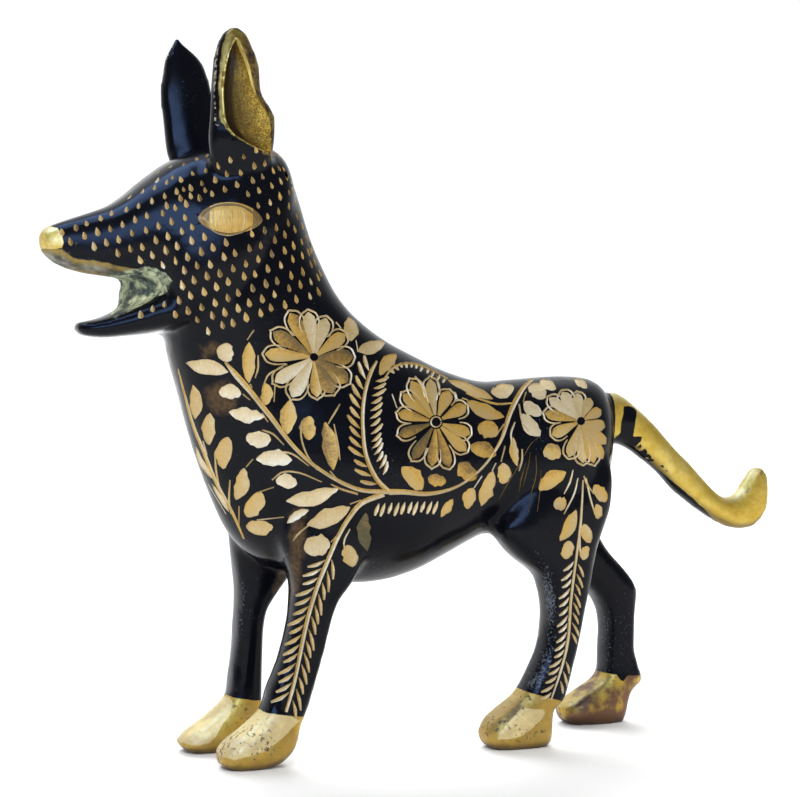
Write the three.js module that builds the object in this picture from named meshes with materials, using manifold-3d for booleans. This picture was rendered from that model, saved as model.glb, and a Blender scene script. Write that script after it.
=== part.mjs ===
// A dog figurine: one hollow sand-cast brass piece that stands on its four paws.
// Millimetres, +Z up. The dog faces -X and its left side is -Y.
// The origin is on the surface that it stands on, under the middle of its box.

import * as THREE from 'three';
import { LoftGeometry } from 'three/addons/geometries/LoftGeometry.js';
import { mergeVertices } from 'three/addons/utils/BufferGeometryUtils.js';
import Module from 'manifold-3d';

const wasm = await Module();
wasm.setup();

// Driving dimensions
const height = 200;          // soles to the tip of the left ear
const torsoWidth = 49;       // across the ribs
const headWidth = 43;        // across the cheeks
const legSpacing = 26;       // centre lines of the left legs to those of the right legs
const pawWidth = 14;         // across one paw
const tailWidth = 8.5;       // across the tail
const earSpacing = 35;       // centre lines of the ears, where they leave the skull
const earLean = 0.08;        // sideways lean of an ear, for each millimetre up
const earThickness = 8.5;    // through an ear at its root
const earWall = 3;           // brass left behind the hollow of an ear
const eyeRaise = 0.7;        // how far an eye stands out of the cheek
const eyeLength = 18.8;      // corner to corner of an eye

// The side views below are drawn for a dog 200 mm high, up to the tip of its left ear
const scale = height / 200;

// Rows of a side view. Each row is one cross section: x and z of its upper or front point,
// x and z of its lower or rear point, and its half width as a share of the part's own half width.
// From the rump along the back and up the neck
const torsoRows = [
  [64.9, 96.0, 64.9, 84.0, 0.15],
  [64.0, 100.5, 63.6, 76.0, 0.36],
  [62.0, 103.4, 61.2, 70.5, 0.53],
  [58.5, 105.2, 57.2, 65.8, 0.70],
  [53.0, 105.9, 51.5, 62.0, 0.84],
  [45.0, 105.8, 44.0, 60.2, 0.90],
  [34.0, 105.1, 33.0, 60.0, 0.83],
  [24.0, 104.8, 24.0, 60.2, 0.79],
  [12.4, 108.1, 12.4, 55.0, 0.86],
  [3.3, 112.2, 1.5, 50.2, 0.94],
  [-4.4, 116.0, -10.0, 47.9, 0.99],
  [-9.0, 118.9, -22.0, 48.6, 1.00],
  [-12.6, 121.6, -33.8, 51.2, 0.97],
  [-16.0, 124.6, -43.0, 55.3, 0.92],
  [-19.0, 128.0, -49.8, 61.5, 0.87],
  [-21.6, 131.8, -54.5, 70.0, 0.82],
  [-24.0, 136.3, -59.4, 82.3, 0.79],
  [-26.6, 141.6, -62.7, 93.0, 0.79],
  [-29.2, 148.0, -65.4, 103.5, 0.81],
  [-31.4, 155.0, -67.8, 112.5, 0.82],
  [-34.2, 162.0, -68.2, 118.8, 0.78],
  [-40.0, 165.0, -65.0, 126.0, 0.66],
];

// From the back of the skull to the nose, over the open mouth
const skullRows = [
  [-35.4, 163.0, -33.0, 150.0, 0.45],
  [-37.8, 168.0, -38.0, 139.0, 0.74],
  [-42.6, 170.8, -46.5, 127.5, 0.93],
  [-49.5, 171.6, -55.5, 120.5, 1.00],
  [-55.6, 170.4, -64.0, 118.8, 0.97],
  [-61.8, 168.3, -70.0, 119.8, 0.88],
  [-67.5, 166.0, -73.0, 130.8, 0.79],
  [-71.7, 163.2, -76.0, 132.8, 0.71],
  [-76.2, 159.8, -79.5, 133.6, 0.63],
  [-80.5, 156.3, -83.5, 134.0, 0.55],
  [-85.0, 153.3, -88.0, 134.6, 0.46],
  [-91.2, 151.0, -93.0, 135.4, 0.37],
  [-97.5, 148.9, -98.5, 137.2, 0.28],
  [-101.5, 147.3, -101.8, 139.6, 0.21],
  [-103.6, 145.9, -103.4, 142.0, 0.13],
];

// The lower jaw, from inside the cheeks to its tip
const jawRows = [
  [-62.0, 134.0, -62.0, 119.5, 0.74],
  [-70.0, 131.0, -70.0, 119.2, 0.73],
  [-76.0, 128.0, -76.0, 118.4, 0.60],
  [-82.0, 125.2, -82.0, 117.9, 0.47],
  [-87.5, 122.9, -87.8, 117.6, 0.34],
  [-91.5, 121.9, -91.8, 118.4, 0.24],
  [-93.8, 120.9, -93.8, 119.8, 0.13],
];

// Level sections of the ears: height, front x, rear x and half thickness, from inside the skull to the tip
const leftEarRows = [
  [149.0, -57.5, -46.0, 0.35],
  [168.0, -61.3, -43.6, 1.00],
  [177.0, -61.3, -43.4, 0.96],
  [180.0, -61.2, -45.1, 0.93],
  [183.5, -61.1, -47.4, 0.90],
  [190.8, -60.6, -48.2, 0.82],
  [195.0, -59.8, -49.9, 0.74],
  [198.4, -58.2, -51.8, 0.58],
  [200.0, -56.2, -54.0, 0.36],
];
const rightEarRows = [
  [149.0, -58.5, -46.0, 0.35],
  [168.0, -63.3, -45.0, 1.00],
  [176.6, -64.4, -47.5, 0.96],
  [183.0, -65.0, -49.4, 0.91],
  [188.0, -65.0, -50.5, 0.85],
  [193.1, -64.2, -51.9, 0.77],
  [197.0, -63.2, -54.2, 0.62],
  [200.3, -61.4, -58.2, 0.38],
  [201.9, -60.4, -59.7, 0.16],
];

// Level sections of the legs: height, front x, rear x and half width, from the sole into the body
const leftForelegRows = [
  [0.0, -55.5, -43.5, 0.76],
  [1.3, -57.5, -40.5, 0.93],
  [4.4, -58.1, -37.2, 1.00],
  [7.2, -56.1, -36.0, 0.98],
  [10.7, -51.0, -35.4, 0.92],
  [15.7, -45.7, -33.2, 0.86],
  [21.0, -44.0, -31.5, 0.86],
  [28.0, -41.0, -29.3, 0.84],
  [34.0, -39.2, -27.6, 0.84],
  [39.5, -37.9, -26.3, 0.88],
  [45.0, -37.3, -24.2, 0.94],
  [49.5, -37.2, -20.6, 1.00],
  [56.0, -39.0, -16.5, 1.05],
  [64.0, -42.0, -13.0, 1.05],
  [74.0, -41.0, -15.0, 0.90],
];
const rightForelegRows = [
  [0.0, -58.5, -46.0, 0.76],
  [1.0, -61.0, -43.3, 0.92],
  [2.8, -62.3, -41.0, 1.00],
  [5.5, -60.0, -39.4, 0.98],
  [8.0, -56.0, -38.9, 0.95],
  [12.0, -50.8, -38.5, 0.88],
  [15.0, -48.0, -38.4, 0.84],
  [20.0, -47.3, -38.3, 0.82],
  [30.0, -46.0, -38.0, 0.82],
  [36.0, -45.6, -37.6, 0.84],
  [40.2, -45.3, -36.6, 0.88],
  [44.3, -45.2, -34.0, 0.95],
  [50.0, -45.6, -29.5, 1.00],
  [57.0, -46.5, -24.0, 1.05],
  [66.0, -47.0, -19.0, 1.05],
  [76.0, -45.0, -21.0, 0.90],
];
const leftHindlegRows = [
  [0.0, 22.8, 39.4, 0.80],
  [1.2, 20.9, 40.4, 0.95],
  [4.2, 20.1, 40.8, 1.00],
  [7.6, 21.5, 41.0, 1.00],
  [11.0, 25.8, 41.4, 0.95],
  [12.6, 28.2, 44.2, 0.92],
  [14.9, 31.0, 45.2, 0.90],
  [18.2, 33.2, 46.3, 0.86],
  [23.1, 35.8, 47.6, 0.84],
  [27.9, 38.0, 48.9, 0.84],
  [34.0, 39.1, 50.2, 0.86],
  [38.9, 39.4, 51.2, 0.88],
  [44.8, 38.4, 52.5, 0.94],
  [49.4, 36.6, 53.4, 1.00],
  [54.0, 30.6, 54.4, 1.06],
  [58.0, 26.6, 55.4, 1.12],
  [62.6, 24.0, 57.2, 1.15],
  [69.0, 27.0, 59.3, 1.15],
  [78.0, 33.0, 59.8, 1.05],
  [86.0, 40.0, 58.0, 0.70],
];
const rightHindlegRows = [
  [0.0, 58.8, 77.6, 0.80],
  [1.9, 57.4, 77.9, 0.95],
  [4.5, 56.6, 78.3, 1.00],
  [6.4, 58.2, 78.7, 1.00],
  [10.0, 64.2, 80.2, 0.95],
  [12.2, 68.2, 83.0, 0.92],
  [14.5, 70.2, 82.9, 0.88],
  [17.2, 70.8, 81.9, 0.86],
  [22.0, 70.8, 80.7, 0.84],
  [27.6, 71.2, 80.7, 0.84],
  [32.9, 70.6, 80.8, 0.86],
  [37.2, 68.8, 81.1, 0.90],
  [40.4, 66.2, 81.2, 0.95],
  [44.0, 62.5, 79.2, 1.00],
  [48.0, 58.5, 75.7, 1.04],
  [53.0, 53.0, 71.0, 1.08],
  [59.0, 45.0, 67.6, 1.12],
  [66.0, 36.0, 65.5, 1.15],
  [76.0, 36.0, 62.5, 1.08],
  [86.0, 42.0, 60.0, 0.70],
];

// The tail, from inside the rump to the end of its hook
const tailRows = [
  [60.0, 98.5, 60.0, 84.0, 1.30],
  [67.8, 101.0, 67.0, 85.6, 1.25],
  [76.0, 95.6, 71.3, 84.9, 1.10],
  [81.3, 91.0, 76.2, 81.9, 1.00],
  [88.4, 83.7, 83.0, 76.8, 0.95],
  [93.6, 78.9, 88.1, 71.5, 0.95],
  [99.1, 73.2, 93.4, 67.4, 0.92],
  [103.3, 69.6, 98.3, 64.0, 0.90],
  [106.4, 68.5, 104.3, 60.6, 0.88],
  [109.3, 69.1, 109.9, 58.8, 0.85],
  [111.4, 71.5, 115.4, 59.4, 0.82],
  [113.2, 74.3, 118.8, 62.2, 0.78],
  [115.2, 76.8, 120.6, 66.3, 0.70],
  [117.2, 78.0, 120.9, 71.5, 0.55],
  [118.7, 77.4, 120.5, 74.8, 0.30],
];

// A closed geometry as a solid that can be joined and cut
function solidOf(geometry) {
  const bare = new THREE.BufferGeometry();
  bare.setAttribute('position', geometry.attributes.position);
  bare.setIndex(geometry.index);
  const merged = mergeVertices(bare, 1e-4);
  return new wasm.Manifold(new wasm.Mesh({
    numProp: 3,
    vertProperties: Float32Array.from(merged.attributes.position.array),
    triVerts: Uint32Array.from(merged.index.array),
  }));
}

// And back again, as a geometry for a mesh
function geometryOf(solid) {
  const mesh = solid.getMesh();
  const geometry = new THREE.BufferGeometry();
  geometry.setAttribute('position', new THREE.BufferAttribute(mesh.vertProperties, 3));
  geometry.setIndex(new THREE.BufferAttribute(mesh.triVerts, 1));
  geometry.computeVertexNormals();
  return geometry;
}

// A power of a sine or cosine that keeps its sign, for a ring squarer than an ellipse
function bulged(value, squareness) {
  return Math.sign(value) * Math.abs(value) ** (2 / squareness);
}

// A body lofted through the rows of a side view. Each section is a closed ring that reaches
// from the row's upper point to its lower one, and is as wide as its half width says.
function limb(rows, { halfWidth, sides, squareness, middle = () => 0 }) {
  const [first, second] = rows;
  const down = new THREE.Vector2(first[2] - first[0], first[3] - first[1]);
  const onward = new THREE.Vector2(
    second[0] + second[2] - first[0] - first[2],
    second[1] + second[3] - first[1] - first[3],
  );
  const turnsLeft = down.cross(onward) < 0;
  const sections = rows.map(([topX, topZ, bottomX, bottomZ, share]) => {
    const ring = [];
    for (let side = 0; side < sides; side++) {
      const angle = 2 * Math.PI * side / sides;
      const along = (1 - bulged(Math.cos(angle), squareness)) / 2;
      const across = bulged(Math.sin(angle), squareness) * share * halfWidth;
      const x = THREE.MathUtils.lerp(topX, bottomX, along) * scale;
      const z = THREE.MathUtils.lerp(topZ, bottomZ, along) * scale;
      ring.push(new THREE.Vector3(x, middle(z) + across, z));
    }
    return turnsLeft ? ring : ring.reverse();
  });
  return solidOf(new LoftGeometry(sections, { capStart: true, capEnd: true }));
}

// Level rows as rows of a side view, with the height given once
function level(rows) {
  return rows.map(([z, front, rear, share]) => [front, z, rear, z, share]);
}

// One leg with its paw, which is flat underneath. side is -1 on the left and 1 on the right.
function leg(rows, side) {
  const middle = () => side * legSpacing / 2;
  return limb(level(rows), { halfWidth: pawWidth / 2, sides: 16, squareness: 2.8, middle });
}

// One ear, with the hollow in its outer face. The hollow is the ear's own outline drawn in
// from its edges, sunk from the outer face until the wall is left behind it.
function ear(rows, side) {
  const frontRim = 0.17;      // share of the ear's length that stays as rim in front
  const rearRim = 0.10;       // and behind
  const [, [root]] = rows;
  const middle = (z) => side * (earSpacing / 2 + earLean * (z - root * scale));
  const blade = limb(level(rows), { halfWidth: earThickness / 2, sides: 16, squareness: 2.3, middle });
  const hollowRows = rows.slice(1, -1).map(([z, front, rear]) => {
    const length = rear - front;
    return [z, front + frontRim * length, rear - rearRim * length, 1];
  });
  const scoop = limb(level(hollowRows), {
    halfWidth: earThickness - earWall,
    sides: 16,
    squareness: 2,
    middle: (z) => middle(z) + side * earThickness / 2,
  });
  return blade.subtract(scoop);
}

// One eye, a low almond on the cheek, turned with the taper of the muzzle
function eye(side) {
  const halfLength = eyeLength / 2;
  const halfHeight = halfLength / 2;
  const depth = 2 * scale;
  const cheek = 0.97 * headWidth / 2;
  const turn = 0.2;
  const almond = new THREE.SphereGeometry(1, 20, 8);
  almond.scale(halfLength, depth, halfHeight);
  almond.rotateZ(side * turn);
  almond.translate(-56 * scale, side * (cheek + eyeRaise - depth), 149.6 * scale);
  return solidOf(almond);
}

// The lump of rough brass at the back of the open mouth, a little to the right of its middle
function palate() {
  const lump = new THREE.SphereGeometry(1, 20, 12);
  lump.scale(11 * scale, 0.27 * headWidth, 9.5 * scale);
  lump.translate(-69.8 * scale, 0.1 * headWidth, 128.5 * scale);
  return solidOf(lump);
}

const torso = limb(torsoRows, { halfWidth: torsoWidth / 2, sides: 28, squareness: 2.15 });
const skull = limb(skullRows, { halfWidth: headWidth / 2, sides: 24, squareness: 2.7 });
const jaw = limb(jawRows, { halfWidth: headWidth / 2, sides: 16, squareness: 2.7 });
const tail = limb(tailRows, { halfWidth: tailWidth / 2, sides: 12, squareness: 2.8 });

const cast = [
  skull,
  jaw,
  palate(),
  ear(leftEarRows, -1),
  ear(rightEarRows, 1),
  eye(-1),
  eye(1),
  leg(leftForelegRows, -1),
  leg(rightForelegRows, 1),
  leg(leftHindlegRows, -1),
  leg(rightHindlegRows, 1),
  tail,
].reduce((whole, piece) => whole.add(piece), torso);

const geometry = geometryOf(cast);
geometry.computeBoundingBox();
const { min, max } = geometry.boundingBox;
geometry.translate(-(min.x + max.x) / 2, -(min.y + max.y) / 2, -min.z);

const lacquer = new THREE.MeshStandardMaterial({ color: 0x14161c, roughness: 0.25, metalness: 0.3 });
const dog = new THREE.Mesh(geometry, lacquer);
dog.name = 'dog';

const figurine = new THREE.Group();
figurine.add(dog);

export default figurine;
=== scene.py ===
import bmesh
import bpy
import numpy as np
from mathutils import Matrix, Vector
from mathutils.bvhtree import BVHTree


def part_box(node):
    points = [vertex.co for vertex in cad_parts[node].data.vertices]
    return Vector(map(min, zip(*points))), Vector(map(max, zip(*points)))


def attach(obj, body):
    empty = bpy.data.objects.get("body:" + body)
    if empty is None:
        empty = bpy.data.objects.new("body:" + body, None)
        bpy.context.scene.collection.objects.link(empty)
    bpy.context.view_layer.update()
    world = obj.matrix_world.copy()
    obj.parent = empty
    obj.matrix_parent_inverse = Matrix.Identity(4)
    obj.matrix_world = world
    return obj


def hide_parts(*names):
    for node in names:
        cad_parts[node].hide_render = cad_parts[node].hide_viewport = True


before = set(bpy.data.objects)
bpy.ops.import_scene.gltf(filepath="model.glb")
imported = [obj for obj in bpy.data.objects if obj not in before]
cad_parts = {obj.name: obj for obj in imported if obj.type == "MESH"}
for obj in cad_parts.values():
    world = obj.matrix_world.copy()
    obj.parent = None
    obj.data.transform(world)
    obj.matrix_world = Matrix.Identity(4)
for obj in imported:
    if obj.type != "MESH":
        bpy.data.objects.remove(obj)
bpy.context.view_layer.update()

dogLow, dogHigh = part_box("dog")
print("frame loaded, dog box", dogLow, dogHigh)

mm = 0.001               # everything below is drawn in millimetres and put into the mesh in metres

# The dog's cast form: side views drawn for a dog 200 mm high, nose to the left.
# Each row is a section: x and z of its upper or front point, x and z of its lower or rear
# point, and its half width as a share of the part's own half width.
castForm = {
    "torsoWidth": 49.0,          # across the ribs
    "headWidth": 43.0,           # across the cheeks
    "legSpacing": 26.0,          # left legs to right legs
    "pawWidth": 14.0,
    "tailWidth": 8.5,
    "voxel": 1.5,                # grain of the merged skin
    "evenings": 10,              # rounds of smoothing after the merge
    "mouthBack": ((-69.8, 128.5), (11.0, 0.54, 9.5)),    # middle, and radii, one a share of the head's
    "torso": [
        (64.9, 96.0, 64.9, 84.0, 0.15),
        (64.0, 100.5, 63.6, 76.0, 0.36),
        (62.0, 103.4, 61.2, 70.5, 0.53),
        (58.5, 105.2, 57.2, 65.8, 0.70),
        (53.0, 105.9, 51.5, 62.0, 0.84),
        (45.0, 105.8, 44.0, 60.2, 0.90),
        (34.0, 105.1, 33.0, 60.0, 0.83),
        (24.0, 104.8, 24.0, 60.2, 0.79),
        (12.4, 108.1, 12.4, 55.0, 0.86),
        (3.3, 112.2, 1.5, 50.2, 0.94),
        (-4.4, 116.0, -10.0, 47.9, 0.99),
        (-9.0, 118.9, -22.0, 48.6, 1.00),
        (-12.6, 121.6, -33.8, 51.2, 0.97),
        (-16.0, 124.6, -43.0, 55.3, 0.92),
        (-19.0, 128.0, -49.8, 61.5, 0.87),
        (-21.6, 131.8, -54.5, 70.0, 0.82),
        (-24.0, 136.3, -59.4, 82.3, 0.79),
        (-26.6, 141.6, -62.7, 93.0, 0.79),
        (-29.2, 148.0, -65.4, 103.5, 0.81),
        (-31.4, 155.0, -67.8, 112.5, 0.82),
        (-34.2, 162.0, -68.2, 118.8, 0.78),
        (-40.0, 165.0, -65.0, 126.0, 0.66),
    ],
    "skull": [
        (-35.4, 163.0, -33.0, 150.0, 0.45),
        (-37.8, 168.0, -38.0, 139.0, 0.74),
        (-42.6, 170.8, -46.5, 127.5, 0.93),
        (-49.5, 171.6, -55.5, 120.5, 1.00),
        (-55.6, 170.4, -64.0, 118.8, 0.97),
        (-61.8, 168.3, -70.0, 119.8, 0.88),
        (-67.5, 166.0, -73.0, 130.8, 0.79),
        (-71.7, 163.2, -76.0, 132.8, 0.71),
        (-76.2, 159.8, -79.5, 133.6, 0.63),
        (-80.5, 156.3, -83.5, 134.0, 0.55),
        (-85.0, 153.3, -88.0, 134.6, 0.46),
        (-91.2, 151.0, -93.0, 135.4, 0.37),
        (-97.5, 148.9, -98.5, 137.2, 0.28),
        (-101.5, 147.3, -101.8, 139.6, 0.21),
        (-103.6, 145.9, -103.4, 142.0, 0.13),
    ],
    "jaw": [
        (-62.0, 134.0, -62.0, 119.5, 0.74),
        (-70.0, 131.0, -70.0, 119.2, 0.73),
        (-76.0, 128.0, -76.0, 118.4, 0.60),
        (-82.0, 125.2, -82.0, 117.9, 0.47),
        (-87.5, 122.9, -87.8, 117.6, 0.34),
        (-91.5, 122.0, -91.8, 118.2, 0.25),
        (-93.4, 121.5, -93.4, 118.9, 0.20),
        (-94.2, 120.8, -94.2, 119.7, 0.13),
    ],
    "tail": [
        (60.0, 98.5, 60.0, 84.0, 1.30),
        (67.8, 101.0, 67.0, 85.6, 1.25),
        (76.0, 95.6, 71.3, 84.9, 1.10),
        (81.3, 91.0, 76.2, 81.9, 1.00),
        (88.4, 83.7, 83.0, 76.8, 0.95),
        (93.6, 78.9, 88.1, 71.5, 0.95),
        (99.1, 73.2, 93.4, 67.4, 0.92),
        (103.3, 69.6, 98.3, 64.0, 0.90),
        (106.4, 68.5, 104.3, 60.6, 0.88),
        (109.3, 69.1, 109.9, 58.8, 0.85),
        (111.4, 71.5, 115.4, 59.4, 0.82),
        (113.2, 74.3, 118.8, 62.2, 0.78),
        (115.2, 76.8, 120.6, 66.3, 0.70),
        (117.2, 78.0, 120.9, 71.5, 0.55),
        (118.7, 77.4, 120.5, 74.8, 0.30),
    ],
}

# Level sections of the legs: height, front x, rear x and half width, from the sole up
legForm = {
    "leftFore": [
        (0.0, -55.5, -43.5, 0.76),
        (1.3, -57.5, -40.5, 0.93),
        (4.4, -58.1, -37.2, 1.00),
        (7.2, -56.1, -36.0, 0.98),
        (10.7, -51.0, -35.4, 0.92),
        (15.7, -45.7, -33.2, 0.86),
        (21.0, -44.0, -31.5, 0.86),
        (28.0, -41.0, -29.3, 0.84),
        (34.0, -39.2, -27.6, 0.84),
        (39.5, -37.9, -26.3, 0.88),
        (45.0, -37.3, -24.2, 0.94),
        (49.5, -37.2, -20.6, 1.00),
        (56.0, -39.0, -16.5, 1.05),
        (64.0, -42.0, -13.0, 1.05),
        (74.0, -41.0, -15.0, 0.90),
    ],
    "rightFore": [
        (0.0, -58.5, -46.0, 0.76),
        (1.0, -61.0, -43.3, 0.92),
        (2.8, -62.3, -41.0, 1.00),
        (5.5, -60.0, -39.4, 0.98),
        (8.0, -56.0, -38.9, 0.95),
        (12.0, -50.8, -38.5, 0.88),
        (15.0, -48.0, -38.4, 0.84),
        (20.0, -47.3, -38.3, 0.82),
        (30.0, -46.0, -38.0, 0.82),
        (36.0, -45.6, -37.6, 0.84),
        (40.2, -45.3, -36.6, 0.88),
        (44.3, -45.2, -34.0, 0.95),
        (50.0, -45.6, -29.5, 1.00),
        (57.0, -46.5, -24.0, 1.05),
        (66.0, -47.0, -19.0, 1.05),
        (76.0, -45.0, -21.0, 0.90),
    ],
    "leftHind": [
        (0.0, 22.8, 39.4, 0.80),
        (1.2, 20.9, 40.4, 0.95),
        (4.2, 20.1, 40.8, 1.00),
        (7.6, 21.5, 41.0, 1.00),
        (11.0, 25.8, 41.4, 0.95),
        (12.6, 28.2, 44.2, 0.92),
        (14.9, 31.0, 45.2, 0.90),
        (18.2, 33.2, 46.3, 0.86),
        (23.1, 35.8, 47.6, 0.84),
        (27.9, 38.0, 48.9, 0.84),
        (34.0, 39.1, 50.2, 0.86),
        (38.9, 39.4, 51.2, 0.88),
        (44.8, 38.4, 52.5, 0.94),
        (49.4, 36.6, 53.4, 1.00),
        (54.0, 30.6, 54.4, 1.06),
        (58.0, 26.6, 55.4, 1.12),
        (62.6, 24.0, 57.2, 1.15),
        (69.0, 27.0, 59.3, 1.15),
        (78.0, 33.0, 59.8, 1.05),
        (86.0, 40.0, 58.0, 0.70),
    ],
    "rightHind": [
        (0.0, 58.8, 77.6, 0.80),
        (1.9, 57.4, 77.9, 0.95),
        (4.5, 56.6, 78.3, 1.00),
        (6.4, 58.2, 78.7, 1.00),
        (10.0, 64.2, 80.2, 0.95),
        (12.2, 68.2, 83.0, 0.92),
        (14.5, 70.2, 82.9, 0.88),
        (17.2, 70.8, 81.9, 0.86),
        (22.0, 70.8, 80.7, 0.84),
        (27.6, 71.2, 80.7, 0.84),
        (32.9, 70.6, 80.8, 0.86),
        (37.2, 68.8, 81.1, 0.90),
        (40.4, 66.2, 81.2, 0.95),
        (44.0, 62.5, 79.2, 1.00),
        (48.0, 58.5, 75.7, 1.04),
        (53.0, 53.0, 71.0, 1.08),
        (59.0, 45.0, 67.6, 1.12),
        (66.0, 36.0, 65.5, 1.15),
        (76.0, 36.0, 62.5, 1.08),
        (86.0, 42.0, 60.0, 0.70),
    ],
}

# Level sections of the ears, and how the hollow sits in them
earForm = {
    "spacing": 35.0,             # centre lines, where the ears leave the skull
    "lean": 0.08,                # sideways, for each millimetre up
    "rootLean": 0.16,            # added below the root height
    "rootHeight": 168.0,
    "thickness": 8.5,
    "inset": 0.35,               # how far the crisp blade lies inside the merged one
    "hollow": [                  # height, and where it starts and ends as shares of the ear's length
        (167.4, 0.84, 0.92),
        (168.3, 0.70, 0.93),
        (169.8, 0.50, 0.94),
        (171.7, 0.32, 0.93),
        (173.5, 0.23, 0.92),
        (176.0, 0.175, 0.89),
        (180.0, 0.165, 0.87),
        (185.0, 0.18, 0.80),
        (189.5, 0.21, 0.71),
        (193.0, 0.27, 0.64),
        (195.2, 0.34, 0.58),
        (196.8, 0.41, 0.52),
    ],
    "hollowDepth": [(0, 0.1), (0.10, 1.9), (0.24, 2.8), (0.5, 2.6), (0.78, 1.7), (1, 0.25)],
    "left": [
        (149.0, -57.5, -46.0, 0.35),
        (168.0, -61.3, -43.6, 1.00),
        (177.0, -61.3, -43.4, 0.96),
        (180.0, -61.2, -45.1, 0.93),
        (183.5, -61.1, -47.4, 0.90),
        (190.8, -60.6, -48.2, 0.82),
        (195.0, -59.8, -49.9, 0.74),
        (198.4, -58.2, -51.8, 0.58),
        (200.0, -56.2, -54.0, 0.36),
    ],
    "right": [
        (149.0, -58.5, -46.0, 0.35),
        (168.0, -63.3, -45.0, 1.00),
        (176.6, -64.4, -47.5, 0.96),
        (183.0, -65.0, -49.4, 0.91),
        (188.0, -65.0, -50.5, 0.85),
        (193.1, -64.2, -51.9, 0.77),
        (197.0, -63.2, -54.2, 0.62),
        (200.3, -61.4, -58.2, 0.38),
        (201.9, -60.4, -59.7, 0.16),
    ],
}

drawnNose = -103.6
shift = dogLow[0] / mm - drawnNose     # from the drawing's x to the part's x


# A smooth line through the rows: a uniform Catmull-Rom cubic on each span,
# worked out for all spans at once
def throughRows(rows, perSpan):
    p = np.asarray(rows, float)
    before = np.vstack([2 * p[0] - p[1], p[:-2]])
    after = np.vstack([p[2:], 2 * p[-1] - p[-2]])
    start, stop = p[:-1], p[1:]
    t = (np.arange(perSpan) / perSpan)[None, :, None]
    a, b, c, d = (q[:, None, :] for q in (before, start, stop, after))
    line = 0.5 * (2 * b + (c - a) * t + (2 * a - 5 * b + 4 * c - d) * t ** 2
                  + (3 * b - 3 * c + d - a) * t ** 3)
    return np.vstack([line.reshape(-1, p.shape[1]), p[-1:]])


# Rings round a side view: each ring is a superellipse between its two points,
# |cos|^(2/s) along and |sin|^(2/s) across, with s the squareness
def ringGrid(rows, halfWidth, sides, squareness, perSpan, middle=0.0):
    r = throughRows(rows, perSpan)
    angle = 2 * np.pi * np.arange(sides) / sides
    bulge = lambda v: np.sign(v) * np.abs(v) ** (2 / squareness)
    along = (1 - bulge(np.cos(angle)))[None, :] / 2
    x = r[:, 0:1] + (r[:, 2:3] - r[:, 0:1]) * along
    z = r[:, 1:2] + (r[:, 3:4] - r[:, 1:2]) * along
    centre = middle(z) if callable(middle) else middle
    y = centre + bulge(np.sin(angle))[None, :] * r[:, 4:5] * halfWidth
    return np.stack([x, y, z], axis=2)


# A closed skin over a grid of rings: quads between rings, and a fan over each end ring
def closedSkin(grid):
    rows, sides = grid.shape[:2]
    index = np.arange(rows * sides).reshape(rows, sides)
    near, far = index[:-1], index[1:]
    quads = np.stack([near, np.roll(near, -1, 1), np.roll(far, -1, 1), far], axis=-1).reshape(-1, 4)
    points = np.vstack([grid.reshape(-1, 3), grid[0].mean(0), grid[-1].mean(0)])
    first, last = rows * sides, rows * sides + 1
    startFan = np.stack([np.roll(index[0], -1), index[0], np.full(sides, first)], axis=-1)
    endFan = np.stack([index[-1], np.roll(index[-1], -1), np.full(sides, last)], axis=-1)
    faces = quads.tolist() + startFan.tolist() + endFan.tolist()
    triangles = np.vstack([quads[:, :3], quads[:, [0, 2, 3]], startFan, endFan])
    corner = points[triangles]
    volume = np.einsum("ij,ij->i", corner[:, 0], np.cross(corner[:, 1], corner[:, 2])).sum()
    if volume < 0:
        faces = [face[::-1] for face in faces]
    return points, faces


# Several closed skins in one mesh, from millimetres of the drawing to metres of the part
def skinObject(name, skins):
    points, faces, count = [], [], 0
    for skinPoints, skinFaces in skins:
        points.append(skinPoints)
        faces += [[v + count for v in face] for face in skinFaces]
        count += len(skinPoints)
    allPoints = (np.vstack(points) + (shift, 0, 0)) * mm
    mesh = bpy.data.meshes.new(name)
    mesh.from_pydata(allPoints.tolist(), [], faces)
    mesh.update()
    piece = bpy.data.objects.new(name, mesh)
    bpy.context.scene.collection.objects.link(piece)
    return piece


# Bake a piece's modifiers into its mesh
def applyModifiers(piece):
    evaluated = piece.evaluated_get(bpy.context.evaluated_depsgraph_get())
    mesh = bpy.data.meshes.new_from_object(evaluated)
    piece.modifiers.clear()
    piece.data = mesh


# Join a tool to a piece or cut it away, and drop the tool
def booleanWith(piece, tool, operation):
    cut = piece.modifiers.new(operation, "BOOLEAN")
    cut.solver = "MANIFOLD"
    cut.operation = operation
    cut.object = tool
    applyModifiers(piece)
    bpy.data.objects.remove(tool)


# An egg of three radii: rings of sin(a) round the x axis, at cos(a) along it
def ellipsoid(centre, radii, rows=24, sides=32):
    angle = np.linspace(0, np.pi, rows + 1)[1:-1]
    around = 2 * np.pi * np.arange(sides) / sides
    x = np.cos(angle)[:, None] * np.ones(sides)
    y = np.sin(angle)[:, None] * np.sin(around)
    z = np.sin(angle)[:, None] * np.cos(around)
    return closedSkin(np.stack([x, y, z], axis=2) * radii + np.asarray(centre))


# Rows of height, front, rear and share as the two points and share that ringGrid takes
def levelRows(rows):
    return [(front, z, rear, z, share) for z, front, rear, share in rows]


# The y of an ear's middle at each height: it leans outwards, and more below its root
def earMiddle(z, side):
    rise = z - earForm["rootHeight"]
    middle = earForm["spacing"] / 2 + earForm["lean"] * rise
    return side * (middle + earForm["rootLean"] * np.minimum(rise, 0))


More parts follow.
